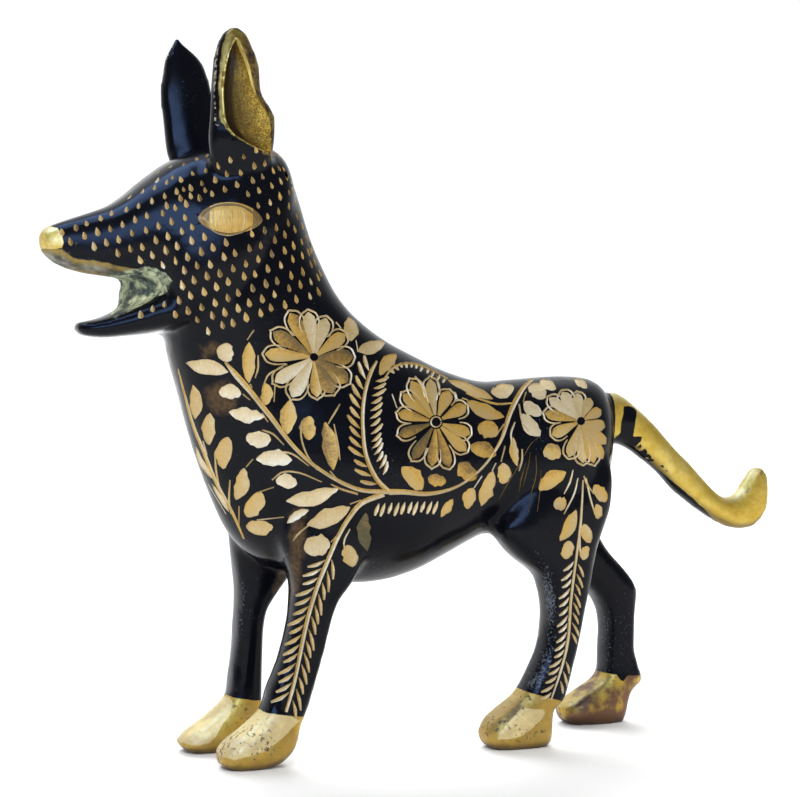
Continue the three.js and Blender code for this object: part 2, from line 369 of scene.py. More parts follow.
# An ear's blade, drawn in by the inset everywhere but towards its tip
def earSkin(rows, side, inset=0.0):
    r = np.array(rows, float)
    drawn = inset * np.clip((r[-1, 0] - r[:, 0]) / 7, 0, 1)
    r[:, 1] += drawn
    r[:, 2] -= drawn
    r[:, 3] -= drawn / (earForm["thickness"] / 2)
    middle = lambda z: earMiddle(z, side)
    return closedSkin(ringGrid(levelRows(r), earForm["thickness"] / 2, 40, 2.5, 5, middle))


# All the closed skins that are merged into the casting
def bodySkins():
    half = castForm["headWidth"] / 2
    (mouthX, mouthZ), (mouthLong, mouthShare, mouthTall) = castForm["mouthBack"]
    skins = [
        closedSkin(ringGrid(castForm["torso"], castForm["torsoWidth"] / 2, 56, 2.15, 4)),
        closedSkin(ringGrid(castForm["skull"], half, 56, 2.7, 4)),
        closedSkin(ringGrid(castForm["jaw"], half, 40, 2.7, 4)),
        closedSkin(ringGrid(castForm["tail"], castForm["tailWidth"] / 2, 32, 2.8, 4)),
        ellipsoid((mouthX, 0.2 * half, mouthZ), (mouthLong, mouthShare * half, mouthTall)),
    ]
    for name, rows in legForm.items():
        side = -1 if name.startswith("left") else 1
        middle = side * castForm["legSpacing"] / 2
        grid = ringGrid(levelRows(rows), castForm["pawWidth"] / 2, 40, 3.4, 4, middle)
        skins.append(closedSkin(grid))
    for name, side in (("left", -1), ("right", 1)):
        skins.append(earSkin(earForm[name], side))
    return skins


# Even out a skin: each point moves towards the mean of its neighbours and then back out
# by nearly as much, which takes the steps away and keeps the volume
def evenOut(piece, rounds, inward=0.5, outward=-0.52):
    mesh = piece.data
    points = np.empty(len(mesh.vertices) * 3)
    mesh.vertices.foreach_get("co", points)
    points = points.reshape(-1, 3)
    edges = np.empty(len(mesh.edges) * 2, np.int64)
    mesh.edges.foreach_get("vertices", edges)
    a, b = edges.reshape(-1, 2).T
    degree = np.bincount(np.concatenate([a, b]), minlength=len(points))[:, None]
    for step in range(rounds):
        for factor in (inward, outward):
            total = np.zeros_like(points)
            for axis in range(3):
                total[:, axis] = (np.bincount(a, points[b, axis], len(points))
                                  + np.bincount(b, points[a, axis], len(points)))
            points = points + factor * (total / degree - points)
    points[:, 2] = np.maximum(points[:, 2], 0)
    mesh.vertices.foreach_set("co", points.ravel())
    mesh.update()


dog = skinObject("dogBody", bodySkins())
remesh = dog.modifiers.new("merge", "REMESH")
remesh.mode = "VOXEL"
remesh.voxel_size = castForm["voxel"] * mm
applyModifiers(dog)
evenOut(dog, castForm["evenings"])
print("merged skin", len(dog.data.vertices), "points")


# The photo's view. The engraving is laid out on a sheet that faces it through the target:
# x to the right and y down, in pixels of the photo's 800 x 797 frame.
view = {
    "turn": -21.0,               # degrees from square to the left side, towards the head
    "height": 2.0,               # degrees above level
    "roll": 0.0,                 # degrees, tail end down
    "distance": 600.0,
    "lens": 94.2,
    "film": 36.0,
    "frame": (800, 797),
    "target": (0.0, 0.0, 100.0),
}
pixel = view["distance"] * view["film"] / (view["lens"] * view["frame"][0])
target = np.array(view["target"]) + (shift, 0, 0)


# Right, up and back of the view: turned about the upright, raised, then rolled
def viewAxes():
    turn, height, roll = np.radians([view["turn"], view["height"], view["roll"]])
    back = np.array([np.sin(turn) * np.cos(height), -np.cos(turn) * np.cos(height), np.sin(height)])
    right = np.array([np.cos(turn), np.sin(turn), 0.0])
    up = np.cross(back, right)
    return right * np.cos(roll) + up * np.sin(roll), up * np.cos(roll) - right * np.sin(roll), back


rightAxis, upAxis, backAxis = viewAxes()
eyePoint = target + backAxis * view["distance"]


# From the part's millimetres to the sheet: straight lines from the eye
def toSheet(points):
    d = points - target
    near = view["distance"] / (view["distance"] - d @ backAxis) / pixel
    return np.stack([view["frame"][0] / 2 + (d @ rightAxis) * near,
                     view["frame"][1] / 2 - (d @ upAxis) * near], axis=1)


# From the sheet to the plane through the target
def fromSheet(xy):
    dx = (xy[:, 0:1] - view["frame"][0] / 2) * pixel
    dy = (view["frame"][1] / 2 - xy[:, 1:2]) * pixel
    return target + dx * rightAxis + dy * upAxis


# The piece's surface, ready to be met by straight lines
def bodyTree(piece):
    mesh = piece.data
    return BVHTree.FromPolygons([v.co for v in mesh.vertices], [p.vertices for p in mesh.polygons])


# Where the sheet's points land on the body, and which way it faces there. The right side is
# laid out from the mirrored eye.
def layOnBody(tree, xy, side):
    mirror = np.array([1, -side, 1])
    start = Vector((eyePoint * mirror * mm).tolist())
    aims = (fromSheet(xy) - eyePoint) * mirror
    hits = [tree.ray_cast(start, Vector(aim.tolist())) for aim in aims]
    if any(hit[0] is None for hit in hits):
        return None, None
    return np.array([hit[0] for hit in hits]) / mm, np.array([hit[1] for hit in hits])


# A smooth path through the given points, resampled evenly
def smoothPath(points, step):
    line = throughRows(points, 12)
    gaps = np.linalg.norm(np.diff(line, axis=0)[:, :2], axis=1)
    run = np.concatenate([[0], np.cumsum(gaps)])
    count = max(3, int(round(run[-1] / step)) + 1)
    even = np.linspace(0, run[-1], count)
    return np.stack([np.interp(even, run, line[:, axis]) for axis in range(line.shape[1])], axis=1)


# The direction square to a path at each of its points
def across(path):
    along = np.gradient(path[:, :2], axis=0)
    along /= np.linalg.norm(along, axis=1)[:, None]
    return np.stack([-along[:, 1], along[:, 0]], axis=1)


# A ribbon of the given widths along a path: points on three lines, left, middle and right
def ribbonGrid(points, widths, step=5.0):
    rows = np.column_stack([np.asarray(points, float), np.interp(
        np.linspace(0, 1, len(points)), np.linspace(0, 1, len(widths)), widths)])
    path = smoothPath(rows, step)
    half = across(path) * path[:, 2:3] / 2
    return np.stack([path[:, :2] - half, path[:, :2], path[:, :2] + half], axis=1)


# A leaf from base to tip: a straight or bent spine, and half width w (4 s (1 - s))^fullness
# at the share s of its length, with the edge roughened by a few waves
def leafGrid(base, tip, width, bend=0.0, fullness=0.6, rough=0.04, seed=0, count=9):
    rng = np.random.default_rng(seed)
    s = (1 - np.cos(np.linspace(0.06, 1, count) * np.pi * 0.97)) / 2
    s = (s - s[0]) / (s[-1] - s[0])
    base, tip = np.array(base, float), np.array(tip, float)
    spine = tip - base
    normal = np.array([-spine[1], spine[0]])
    path = base + s[:, None] * spine + (4 * s * (1 - s) * bend)[:, None] * normal
    half = np.maximum((4 * s * (1 - s)) ** fullness, 0.07) * width / 2
    sides = []
    for share in (-1, -0.5, 0, 0.5, 1):
        wave = 1 + rough * rng.normal(size=count) * abs(share)
        sides.append(path + (normal / np.linalg.norm(normal)) * (half * wave * share)[:, None])
    return np.stack(sides, axis=1)


# A petal, narrow at the heart of the flower and round at its end: half width
# w (0.22 + 0.78 sin(0.62 pi s^1.25)) sqrt(1 - s^7) at the share s of its length
def petalGrid(heart, tip, width, count=9):
    s = np.linspace(0, 1, count)
    heart, tip = np.array(heart, float), np.array(tip, float)
    spine = tip - heart
    normal = np.array([-spine[1], spine[0]]) / np.linalg.norm(spine)
    swell = 0.22 + 0.78 * np.sin(np.pi * s ** 1.25 * 0.62)
    closing = np.sqrt(np.maximum(1 - s ** 7, 0.01))
    half = swell * closing * width / 2
    path = heart + s[:, None] * spine
    return np.stack([path + normal * (half * share)[:, None] for share in (-1, -0.5, 0, 0.5, 1)], axis=1)


# The line cut round the end of a petal: the petal's own edge from its middle, set off outwards
def petalRim(heart, tip, width, off, reach=0.5, count=15):
    further = np.array(tip) + (np.array(tip) - np.array(heart)) * off / 60
    grid = petalGrid(heart, further, width + 2 * off, count)
    start = int(count * reach)
    left, right = grid[start:, 0], grid[start:, -1]
    end = grid[-1, 2] + (grid[-1, 2] - grid[0, 2]) * 0.03
    return np.vstack([left, end, right[::-1]])


marks = []

# Depths across a mark, in millimetres
flatCut = (0.16, 0.24, 0.28, 0.26, 0.20)
grooveCut = (0.10, 0.34, 0.10)
# a deeper cut for the pale line painted as a highlight down the broad stems
paintedHighlightCut = (0.2, 0.5, 0.2)


# Keep a mark of the engraving: its grid on the sheet, depths, kind, and its tone from pale (0)
# through gold (0.5) to brown (0.85) and tarnished (1)
def addMark(grid, depths, tone, kind):
    marks.append({"grid": grid, "depths": depths, "tone": tone, "kind": kind})


# A stem, stalk or rim: a groove of two facets along a path
def addRibbon(points, widths, tone=0.3, step=5.0, depths=grooveCut):
    addMark(ribbonGrid(points, widths, step), depths, tone, "stem")


# Stems, with their widths from start to end
stemLines = {
    "toShoulder": ([(389, 492), (357, 489), (322, 471), (295, 448), (270, 416), (250, 391), (236, 375),
                    (225, 362)],
                   (4.5, 4.0, 3.6, 4.0, 5.0, 5.5, 6.0, 2.0)),
    "shoulderTwin": ([(358, 494), (341, 489), (331, 484)], (2.5, 1.5)),
    "overChest": ([(244, 539), (232, 512), (216, 482), (203, 450), (193, 425), (185, 396), (178, 369)],
                  (1.6, 3.0, 3.6, 3.6, 3.2, 2.4, 1.2)),
    "chestTwin": ([(240, 539), (226, 514), (208, 484), (197, 464)], (1.2, 2.4, 4.5, 2.0)),
    "overFlank": ([(389, 492), (376, 478), (366, 455), (363, 430), (363, 408), (366, 388), (371, 372),
                   (377, 361)],
                  (5.0, 4.4, 4.0, 3.6, 3.6, 3.6, 4.0, 2.0)),
    "alongBelly": ([(389, 492), (405, 492), (425, 494), (445, 491), (462, 484), (478, 472), (491, 457),
                    (502, 438), (509, 416), (516, 400), (524, 387), (533, 379)],
                   (6.0, 5.0, 4.0, 2.6, 2.4, 2.6, 3.6, 5.5, 4.5, 2.5)),
    "downForeleg": ([(384, 494), (362, 503), (349, 518), (338, 537), (328, 560), (318, 585), (310, 610),
                     (304, 635), (299, 660), (293, 688), (286, 712)],
                    (5.5, 5.0, 4.4, 4.2, 4.0, 4.0, 3.8, 3.6, 3.0)),
    "downHindleg": ([(583, 480), (582, 502), (580, 530), (576, 560), (571, 600), (568, 640), (561, 670),
                     (551, 700)],
                    (1.6, 2.2, 2.8, 2.6, 2.8, 3.0, 2.6, 1.6)),
    "overSaddle": ([(383, 381), (388, 373), (396, 366), (408, 363), (420, 365), (434, 371), (448, 379)],
                   (1.5, 2.5, 2.0, 1.2)),
    "underSaddle": ([(466, 393), (480, 399), (497, 404), (512, 403)], (1.6, 2.4, 1.6)),
}

# Thin stalks and single cuts beside the leaves
stalks = [
    [(243, 394), (250, 400)], [(262, 413), (268, 422)], [(262, 430), (273, 434), (284, 445)],
    [(268, 453), (290, 453), (309, 466)], [(272, 480), (283, 472), (300, 473), (322, 482)],
    [(350, 504), (361, 500)], [(309, 525), (298, 534), (293, 541)], [(331, 542), (342, 530)],
    [(250, 384), (252, 388)], [(258, 355), (258, 368), (255, 378)], [(254, 330), (247, 340)],
    [(264, 384), (269, 374), (283, 367)], [(275, 384), (274, 402)],
    [(302, 421), (301, 436), (306, 453), (317, 470)], [(328, 424), (334, 414), (340, 404)],
    [(330, 471), (338, 480)], [(334, 424), (338, 446), (340, 460)], [(203, 441), (207, 455)],
    [(215, 452), (216, 470), (219, 485)], [(230, 480), (229, 500), (231, 514)],
    [(239, 506), (239, 524)], [(256, 493), (274, 487)], [(257, 520), (284, 517)],
    [(246, 467), (253, 459)], [(505, 446), (501, 462)], [(496, 463), (492, 471)],
    [(482, 476), (474, 488)], [(515, 422), (511, 433), (512, 446)],
    [(522, 449), (522, 460), (519, 471)], [(468, 400), (462, 398)], [(504, 424), (497, 434)],
    [(350, 529), (344, 541), (345, 551)], [(526, 392), (523, 402)],
    [(519, 404), (522, 420), (529, 431)], [(573, 470), (570, 482), (564, 494)],
    [(578, 478), (574, 494), (564, 514)], [(586, 478), (590, 497), (595, 514)],
    [(584, 476), (587, 484), (594, 494)], [(580, 535), (580, 549), (582, 558)],
    [(336, 322), (341, 328)], [(358, 352), (356, 340)], [(392, 394), (397, 408)],
    [(415, 376), (424, 390), (429, 403)], [(437, 381), (440, 392)], [(455, 392), (458, 401)],
]

# Fine scratches in the fold of the thigh
scratches = [
    [(539, 437), (530, 445), (524, 456)], [(524, 458), (516, 470), (508, 483), (499, 499)],
    [(530, 452), (529, 462), (526, 474), (523, 487)], [(536, 455), (536, 475), (531, 494), (528, 514)],
    [(519, 498), (514, 512)], [(526, 462), (521, 480), (519, 492)], [(541, 470), (540, 490), (537, 512)],
]

# Leaves: base, tip, width, tone
leaves = [
    [(228, 372), (186, 363), 13, 0.22], [(241, 394), (219, 392), 13, 0.18],
    [(264, 417), (229, 412), 13, 0.20], [(271, 440), (246, 437), 15, 0.18],
    [(292, 460), (256, 459), 15, 0.20], [(297, 484), (276, 480), 13, 0.16],
    [(338, 489), (286, 501), 14, 0.30], [(350, 507), (307, 525), 16, 0.34],
    [(309, 510), (287, 523), 8, 0.25], [(330, 543), (304, 549), 19, 0.24],
    [(227, 362), (226, 343), 15, 0.34], [(249, 383), (249, 342), 12, 0.62],
    [(266, 405), (265, 383), 11, 0.60], [(287, 434), (290, 400), 14, 0.66],
    [(309, 440), (309, 416), 14, 0.70], [(333, 470), (325, 422), 14, 0.74],
    [(195, 419), (193, 385), 11, 0.44], [(209, 445), (210, 413), 13, 0.44],
    [(223, 469), (228, 437), 15, 0.46], [(236, 500), (244, 468), 13, 0.46],
    [(247, 517), (261, 492), 16, 0.48], [(273, 527), (246, 526), 14, 0.50],
    [(353, 567), (347, 545), 13, 0.46], [(366, 513), (367, 551), 13, 1.0],
    [(441, 517), (453, 499), 8, 0.56], [(467, 509), (473, 488), 11, 0.52],
    [(481, 506), (493, 471), 12, 0.50], [(503, 484), (503, 463), 12, 0.50],
    [(517, 466), (513, 437), 8, 0.52], [(504, 417), (467, 401), 13, 0.56],
    [(498, 434), (478, 426), 15, 0.58], [(496, 455), (470, 446), 14, 0.72],
    [(476, 479), (459, 463), 15, 0.68], [(446, 482), (428, 478), 11, 0.70],
    [(422, 490), (402, 467), 15, 0.56], [(493, 399), (448, 380), 9, 0.50],
    [(514, 387), (491, 392), 13, 0.42], [(489, 384), (474, 384), 5, 0.30],
    [(545, 398), (529, 385), 13, 0.36], [(556, 389), (540, 380), 9, 0.34],
    [(570, 378), (554, 380), 7, 0.38], [(587, 388), (574, 379), 7, 0.34],
    [(597, 399), (590, 380), 8, 0.36], [(541, 415), (524, 402), 12, 0.20],
    [(540, 436), (522, 414), 13, 0.22], [(566, 472), (539, 490), 14, 0.56],
    [(566, 506), (554, 502), 13, 0.52], [(576, 510), (560, 541), 12, 0.48],
    [(570, 541), (565, 559), 11, 0.48], [(561, 454), (543, 452), 15, 0.62],
    [(594, 485), (606, 502), 11, 0.54], [(597, 504), (598, 519), 8, 0.52],
    [(584, 524), (590, 543), 10, 0.50], [(588, 546), (583, 560), 8, 0.52],
    [(608, 469), (612, 485), 6, 0.46], [(339, 322), (330, 284), 10, 0.42],
    [(351, 341), (349, 317), 12, 0.36], [(358, 351), (385, 342), 12, 0.36],
    [(380, 375), (396, 354), 12, 0.54], [(400, 352), (412, 352), 5, 0.4],
    [(196, 447), (214, 480), 5, 0.30], [(212, 484), (229, 512), 4, 0.24],
]
for seed, (base, tip, width, tone) in enumerate(leaves):
    slender = np.hypot(tip[0] - base[0], tip[1] - base[1]) / width
    fullness = np.interp(slender, (1.3, 2.8), (0.48, 0.82))
    bend = 0.07 * np.sin(seed * 1.7)
    addMark(leafGrid(base, tip, width * 1.1, bend, fullness, 0.11, seed, 11), flatCut, tone, "leaf")

# Flowers: heart, radius left at the heart, and for each petal its end, width, tone and
# whether a rim is cut round its end. The petals' tones differ as painted reflection: each stands for how
# brightly its cut facet catches the light.
flowers = [
    {"heart": (314, 357), "open": 4, "petals": [
        (308, 312, 15, 0.26, 1), (326, 318, 15, 0.32, 1), (345, 334, 15, 0.54, 1),
        (353, 357, 17, 0.78, 1), (348, 382, 17, 0.80, 1), (333, 393, 18, 0.82, 1),
        (317, 397, 13, 0.66, 1), (292, 397, 17, 0.28, 1), (275, 382, 15, 0.22, 1),
        (265, 354, 15, 0.58, 1), (273, 332, 15, 0.80, 1), (290, 313, 15, 0.68, 1)]},
    {"heart": (436, 422), "open": 7, "ring": 5.2, "petals": [
        (411, 381, 12, 0.56, 1), (430, 379, 12, 0.42, 1), (449, 391, 14, 0.58, 1),
        (466, 406, 14, 0.62, 1), (470, 434, 13, 0.64, 1), (466, 451, 13, 0.62, 1),
        (449, 467, 12, 0.78, 1), (432, 466, 12, 0.74, 1), (413, 459, 12, 0.88, 1),
        (399, 435, 12, 0.86, 1), (398, 413, 12, 0.66, 1), (403, 394, 13, 0.68, 1)]},
    {"heart": (581, 421), "open": 4, "petals": [
        (562, 392, 12, 0.24, 1), (577, 393, 11, 0.30, 1), (590, 398, 12, 0.46, 0),
        (601, 410, 12, 0.50, 0), (605, 427, 13, 0.48, 0), (606, 444, 12, 0.52, 0),
        (603, 459, 12, 0.52, 0), (594, 463, 12, 0.60, 1), (583, 463, 12, 0.46, 1),
        (569, 457, 12, 0.44, 1), (552, 435, 13, 0.56, 1), (545, 413, 12, 0.66, 1),
        (549, 398, 11, 0.26, 1)]},
]
for flower in flowers:
    heart = np.array(flower["heart"], float)
    for x, y, width, tone, rim in flower["petals"]:
        tip = np.array([x, y], float)
        inner = heart + (tip - heart) / np.linalg.norm(tip - heart) * flower["open"]
        addMark(petalGrid(inner, tip, width), flatCut, tone, "petal")
        if rim:
            addRibbon(petalRim(inner, tip, width, 3.0), (1.2, 2.1, 1.2), 0.2, 2.2)
    if "ring" in flower:
        turn = np.linspace(0, 2 * np.pi * 0.97, 13)
        ring = heart + flower["ring"] * np.stack([np.cos(turn), np.sin(turn)], axis=1)
        addRibbon(ring, (1.2, 1.6, 1.2), 0.25, 2.2)

for points, widths in stemLines.values():
    addRibbon(points, widths, 0.44)
    # A painted highlight: a thin pale line cut down the middle of each broad stem.
    if max(widths) > 3:
        addRibbon(points[1:-1], (0.8, 1.2, 1.2, 0.8), 0.06, depths=paintedHighlightCut)
for points in stalks:
    addRibbon(points, (1.4, 2.0, 1.2), 0.30, 4.0)
for points in scratches:
    addRibbon(points, (0.4, 0.9, 0.4), 0.80, 3.0)


# A row of club-shaped cuts beside a stem: each starts a gap away from it, leans off at an angle
# to the stem's run and grows thicker outwards
def addFern(line, start, end, count, gap, length, lean, thick, side, tone, curl):
    path = smoothPath(np.array(line, float), 1.0)
    along = np.gradient(path, axis=0)
    along /= np.linalg.norm(along, axis=1)[:, None]
    off = across(path) * side
    for step, share in enumerate(np.linspace(start, end, count)):
        at = int(share * (len(path) - 1))
        c, s = np.cos(np.radians(lean)), np.sin(np.radians(lean))
        far = 1 + 0.12 * np.sin(step * 2.4)
        inner = path[at] + off[at] * gap
        outer = inner + (along[at] * c + off[at] * s) * length * far
        bow = (inner + outer) / 2 + curl * length * (along[at] * s - off[at] * c)
        addRibbon([inner, bow, outer], (0.7, thick * 0.8, thick, thick * 0.45), tone, 5.0)


foreStem = stemLines["downForeleg"][0]
hindStem = stemLines["downHindleg"][0]
flankStem = stemLines["overFlank"][0]
bellyLine = [(378, 503), (400, 502), (420, 501), (440, 501)]
saddleLine = [(386, 369), (397, 361), (412, 359), (430, 366), (448, 377)]

# Each row's line, start and end as shares of it, count, gap, length, lean in degrees, thickness,
# side of the line, tone and curl
ferns = [
    (foreStem, 0.37, 0.92, 15, 2.6, 19, 46, 4.4, 1, 0.30, 0.07),
    (foreStem, 0.36, 0.95, 13, 3.2, 20, 26, 4.0, -1, 0.46, -0.04),
    (hindStem, 0.37, 0.97, 16, 2.2, 14, 40, 3.9, 1, 0.30, 0.10),
    (hindStem, 0.38, 0.95, 14, 2.6, 14, 30, 3.2, -1, 0.42, -0.05),
    (flankStem, 0.10, 0.92, 13, 2.6, 17, 40, 5.0, -1, 0.44, -0.05),
    (flankStem, 0.13, 0.86, 14, 7.6, 14, 52, 4.4, 1, 0.28, -0.10),
    (bellyLine, 0.02, 0.98, 10, 0.5, 13, 112, 4.6, 1, 0.30, 0.0),
    (saddleLine, 0.05, 0.98, 11, 2.5, 6, 85, 3.6, 1, 0.22, 0.0),
]
for fern in ferns:
    addFern(*fern)
print("marks on the sheet", len(marks))


# The punch marks on the head: staggered rows on the sheet, closing up towards the nape. Each is
# a pick mark cut square to the skin, with its point upwards.
punches = {
    "across": (12.8, -4.4),
    "down": (3.4, 12.4),
    "start": (52.0, 222.0),
    "rows": 34,
    "columns": 30,
    "length": 2.7,               # mm
    "width": 1.5,
    "depth": (0.5, 0.08),        # in the middle and at the ends
    "clear": 0.7,                # how far the tool stands above the skin
    "upwards": (-0.25, 0.0, 1.0),        # where the points face, and where they do on top of the head
    "upwardsOnTop": (-1.0, 0.0, 0.3),
    "paintedFacetShade": 0.20,              # tone of the far facet above the near one's, painted light and shade
    "tone": (0.56, 0.10),        # middle and spread
    "sizes": (0.75, 0.17, 0.06),         # at the crown, more of it towards the jaw, and spread
    "brow": (176, 190, 30, 16, 90),      # middle, reach across and down, count of extra marks
    "browApart": 7.2,
    "band": 46.0,                # width on the sheet that is wrapped round the nape
    "unevenness": 0.9,
    "apart": 2.6,                # mm that left and right marks keep over the middle
    "head": [(50, 224), (96, 203), (128, 184), (158, 160), (204, 146), (276, 148), (302, 200),
             (318, 262), (334, 300), (322, 306), (300, 300), (282, 312), (262, 322), (240, 326),
             (222, 334), (196, 336), (182, 322), (150, 322), (134, 324), (132, 314), (146, 299),
             (170, 291), (174, 274), (150, 268), (112, 262), (70, 250), (60, 238)],
    "eye": [(194, 217), (214, 202), (240, 201), (264, 220), (244, 236), (224, 240), (206, 232)],
    "nape": [(150, 275), (200, 300), (250, 312), (300, 336)],
}


# Signed distance to an outline on the sheet, positive inside
def insideBy(points, outline):
    a = np.array(outline, float)
    b = np.roll(a, -1, axis=0)
    best = np.full(len(points), 1e9)
    inside = np.zeros(len(points), bool)
    for p, q in zip(a, b):
        edge = q - p
        t = np.clip((points - p) @ edge / (edge @ edge), 0, 1)
        best = np.minimum(best, np.linalg.norm(points - p - t[:, None] * edge, axis=1))
        crosses = (p[1] > points[:, 1]) != (q[1] > points[:, 1])
        with np.errstate(divide="ignore", invalid="ignore"):
            where = p[0] + (points[:, 1] - p[1]) / (q[1] - p[1]) * (q[0] - p[0])
        inside ^= crosses & (points[:, 0] < where)
    return np.where(inside, best, -best)


# Rows and columns with every second row moved by half a column, wrapped round towards the nape,
# with a few more at random on the brow
def punchCentres():
    rng = np.random.default_rng(7)
    row, column = np.meshgrid(np.arange(punches["rows"]), np.arange(punches["columns"]), indexing="ij")
    stagger = column + 0.5 * (row % 2) - row // 3
    xy = (np.array(punches["start"]) + stagger[..., None] * np.array(punches["across"])
          + (row[..., None] - 10) * np.array(punches["down"]))
    xy = xy.reshape(-1, 2)
    nape = np.interp(xy[:, 1], *np.array(punches["nape"]).T)
    band = punches["band"]
    over = np.clip(xy[:, 0] - (nape - band), 0, band * np.pi / 2)
    xy[:, 0] = np.where(over > 0, nape - band + band * np.sin(over / band), xy[:, 0])
    xy += rng.normal(size=xy.shape) * punches["unevenness"]
    x, y, reach, drop, count = punches["brow"]
    for spot in np.array([x, y]) + rng.uniform(-1, 1, (count, 2)) * (reach, drop):
        if np.linalg.norm(xy - spot, axis=1).min() > punches["browApart"]:
            xy = np.vstack([xy, spot])
    keep = (insideBy(xy, punches["head"]) > 2) & (insideBy(xy, punches["eye"]) < -3)
    return xy[keep]


# The eyes: an almond raised a little out of each cheek, cut flat, with a darker iris
eyeForm = {
    "front": (198, 218),
    "rear": (262, 220),
    "width": 31,
    "lift": (0.25, 0.7),         # at the rim and in the middle, mm
    "sink": 1.2,
    "iris": (0.27, 0.73),        # shares of the eye's length
    "tones": (0.66, 0.87, 0.8),  # iris, whites, and the sides and back
}


# The tool for one mark: a closed slab whose floor is the skin moved in by the mark's depths and
# whose top stands clear of the skin
def slab(points, normals, depths, top):
    rows, lines = points.shape[:2]
    floor = points - normals * depths[..., None]
    lid = points + normals * top[..., None]
    index = np.arange(rows * lines).reshape(rows, lines)
    square = [index[:-1, :-1], index[1:, :-1], index[1:, 1:], index[:-1, 1:]]
    quads = np.stack(square, axis=-1).reshape(-1, 4)
    rim = np.concatenate([index[0, :-1], index[:-1, -1], index[-1, :0:-1], index[:0:-1, 0]])
    after = np.roll(rim, -1)
    count = rows * lines
    walls = np.stack([rim, after, after + count, rim + count], axis=-1)
    vertices = np.vstack([floor.reshape(-1, 3), lid.reshape(-1, 3)])
    faces = np.vstack([quads, quads[:, ::-1] + count, walls])
    a, b, c, d = (vertices[faces[:, k]] for k in range(4))
    volume = (np.einsum("ij,ij->i", a, np.cross(b, c)) + np.einsum("ij,ij->i", a, np.cross(c, d))).sum()
    return vertices, faces if volume > 0 else faces[:, ::-1]


# Each normal as the mean of the nine round it
def smoothed(normals):
    wide = np.pad(normals, ((1, 1), (1, 1), (0, 0)), mode="edge")
    total = sum(wide[i:i + normals.shape[0], j:j + normals.shape[1]] for i in range(3) for j in range(3))
    return total / np.linalg.norm(total, axis=2)[..., None]


# Closed slabs as one tool. Each face keeps its tone, and its run along and across the cut in
# millimetres as its UV.
def toolObject(name, slabs, material=1):
    vertices, faces, tones, runs, count = [], [], [], [], 0
    for corners, quads, tone, run in slabs:
        vertices.append(corners)
        faces.append(quads + count)
        tones.append(np.broadcast_to(tone, len(quads)))
        runs.append(run[quads].reshape(-1, 2))
        count += len(corners)
    mesh = bpy.data.meshes.new(name)
    mesh.from_pydata((np.vstack(vertices) * mm).tolist(), [], np.vstack(faces).tolist())
    mesh.materials.append(lacquer)
    mesh.materials.append(brightCut)
    mesh.polygons.foreach_set("material_index", np.full(len(mesh.polygons), material, np.int32))
    mesh.attributes.new("tone", "FLOAT", "FACE").data.foreach_set("value", np.concatenate(tones))
    mesh.uv_layers.new(name="cut").data.foreach_set("uv", np.vstack(runs).ravel())
    piece = bpy.data.objects.new(name, mesh)
    bpy.context.scene.collection.objects.link(piece)
    return piece


# Length along and across a grid of points, in millimetres, for both faces of its slab
def runsOf(points):
    along = np.linalg.norm(np.diff(points[:, points.shape[1] // 2], axis=0), axis=1)
    u = np.concatenate([[0], np.cumsum(along)])
    v = np.linalg.norm(points - points[:, :1], axis=2)
    run = np.stack([np.broadcast_to(u[:, None], v.shape), v], axis=2).reshape(-1, 2)
    return np.vstack([run, run]) / 10


# The right legs stand elsewhere than the left ones, so what lies over them is moved along with
# them: by how far apart their middles are at each height
def movedToRightLeg(grid):
    moved = grid.copy()
    z = (view["frame"][1] / 2 - grid[..., 1]) * pixel + view["target"][2]
    for fore, pair in ((True, ("leftFore", "rightFore")), (False, ("leftHind", "rightHind"))):
        middles = []
        for name in pair:
            rows = np.array(legForm[name])
            middles.append(np.interp(z, rows[:, 0], (rows[:, 1] + rows[:, 2]) / 2))
        gap = (middles[1] - middles[0]) * np.clip((92 - z) / 30, 0, 1)
        over = grid[..., 0] < 440 if fore else grid[..., 0] >= 440
        moved[..., 0] += np.where(over & (z < 92), gap * np.cos(np.radians(view["turn"])) / pixel, 0)
    return moved


# How a mark sits on the skin
markForm = {
    "clear": 0.5,                # how far its tool stands above the skin, mm
    "stretch": (4.5, 1.0),       # times its flat length, and mm more, past which it lies over an edge
    "fromMiddle": 1.5,           # right marks keep this far from the middle, mm
    "legFront": (62, -0.7),      # below this height, right marks that face this far ahead are left out
    "light": (0.5, 1.0),         # where the painted light comes from on the sheet
    "stemFacetShading": (-0.10, 0.24),  # painted light on the lit facet and painted shade on the other one
    # painted light and shade across the four facets of a leaf or petal
    "leafFacetShading": (0.09, 0.03, -0.02, -0.05),
    "deeper": (0.85, 1.2),       # spread of the depths
    "toneSpread": 0.025,
    "overMiddle": (-6, 14),      # y of the left and right marks that may meet, mm
    "apart": 1.2,
}
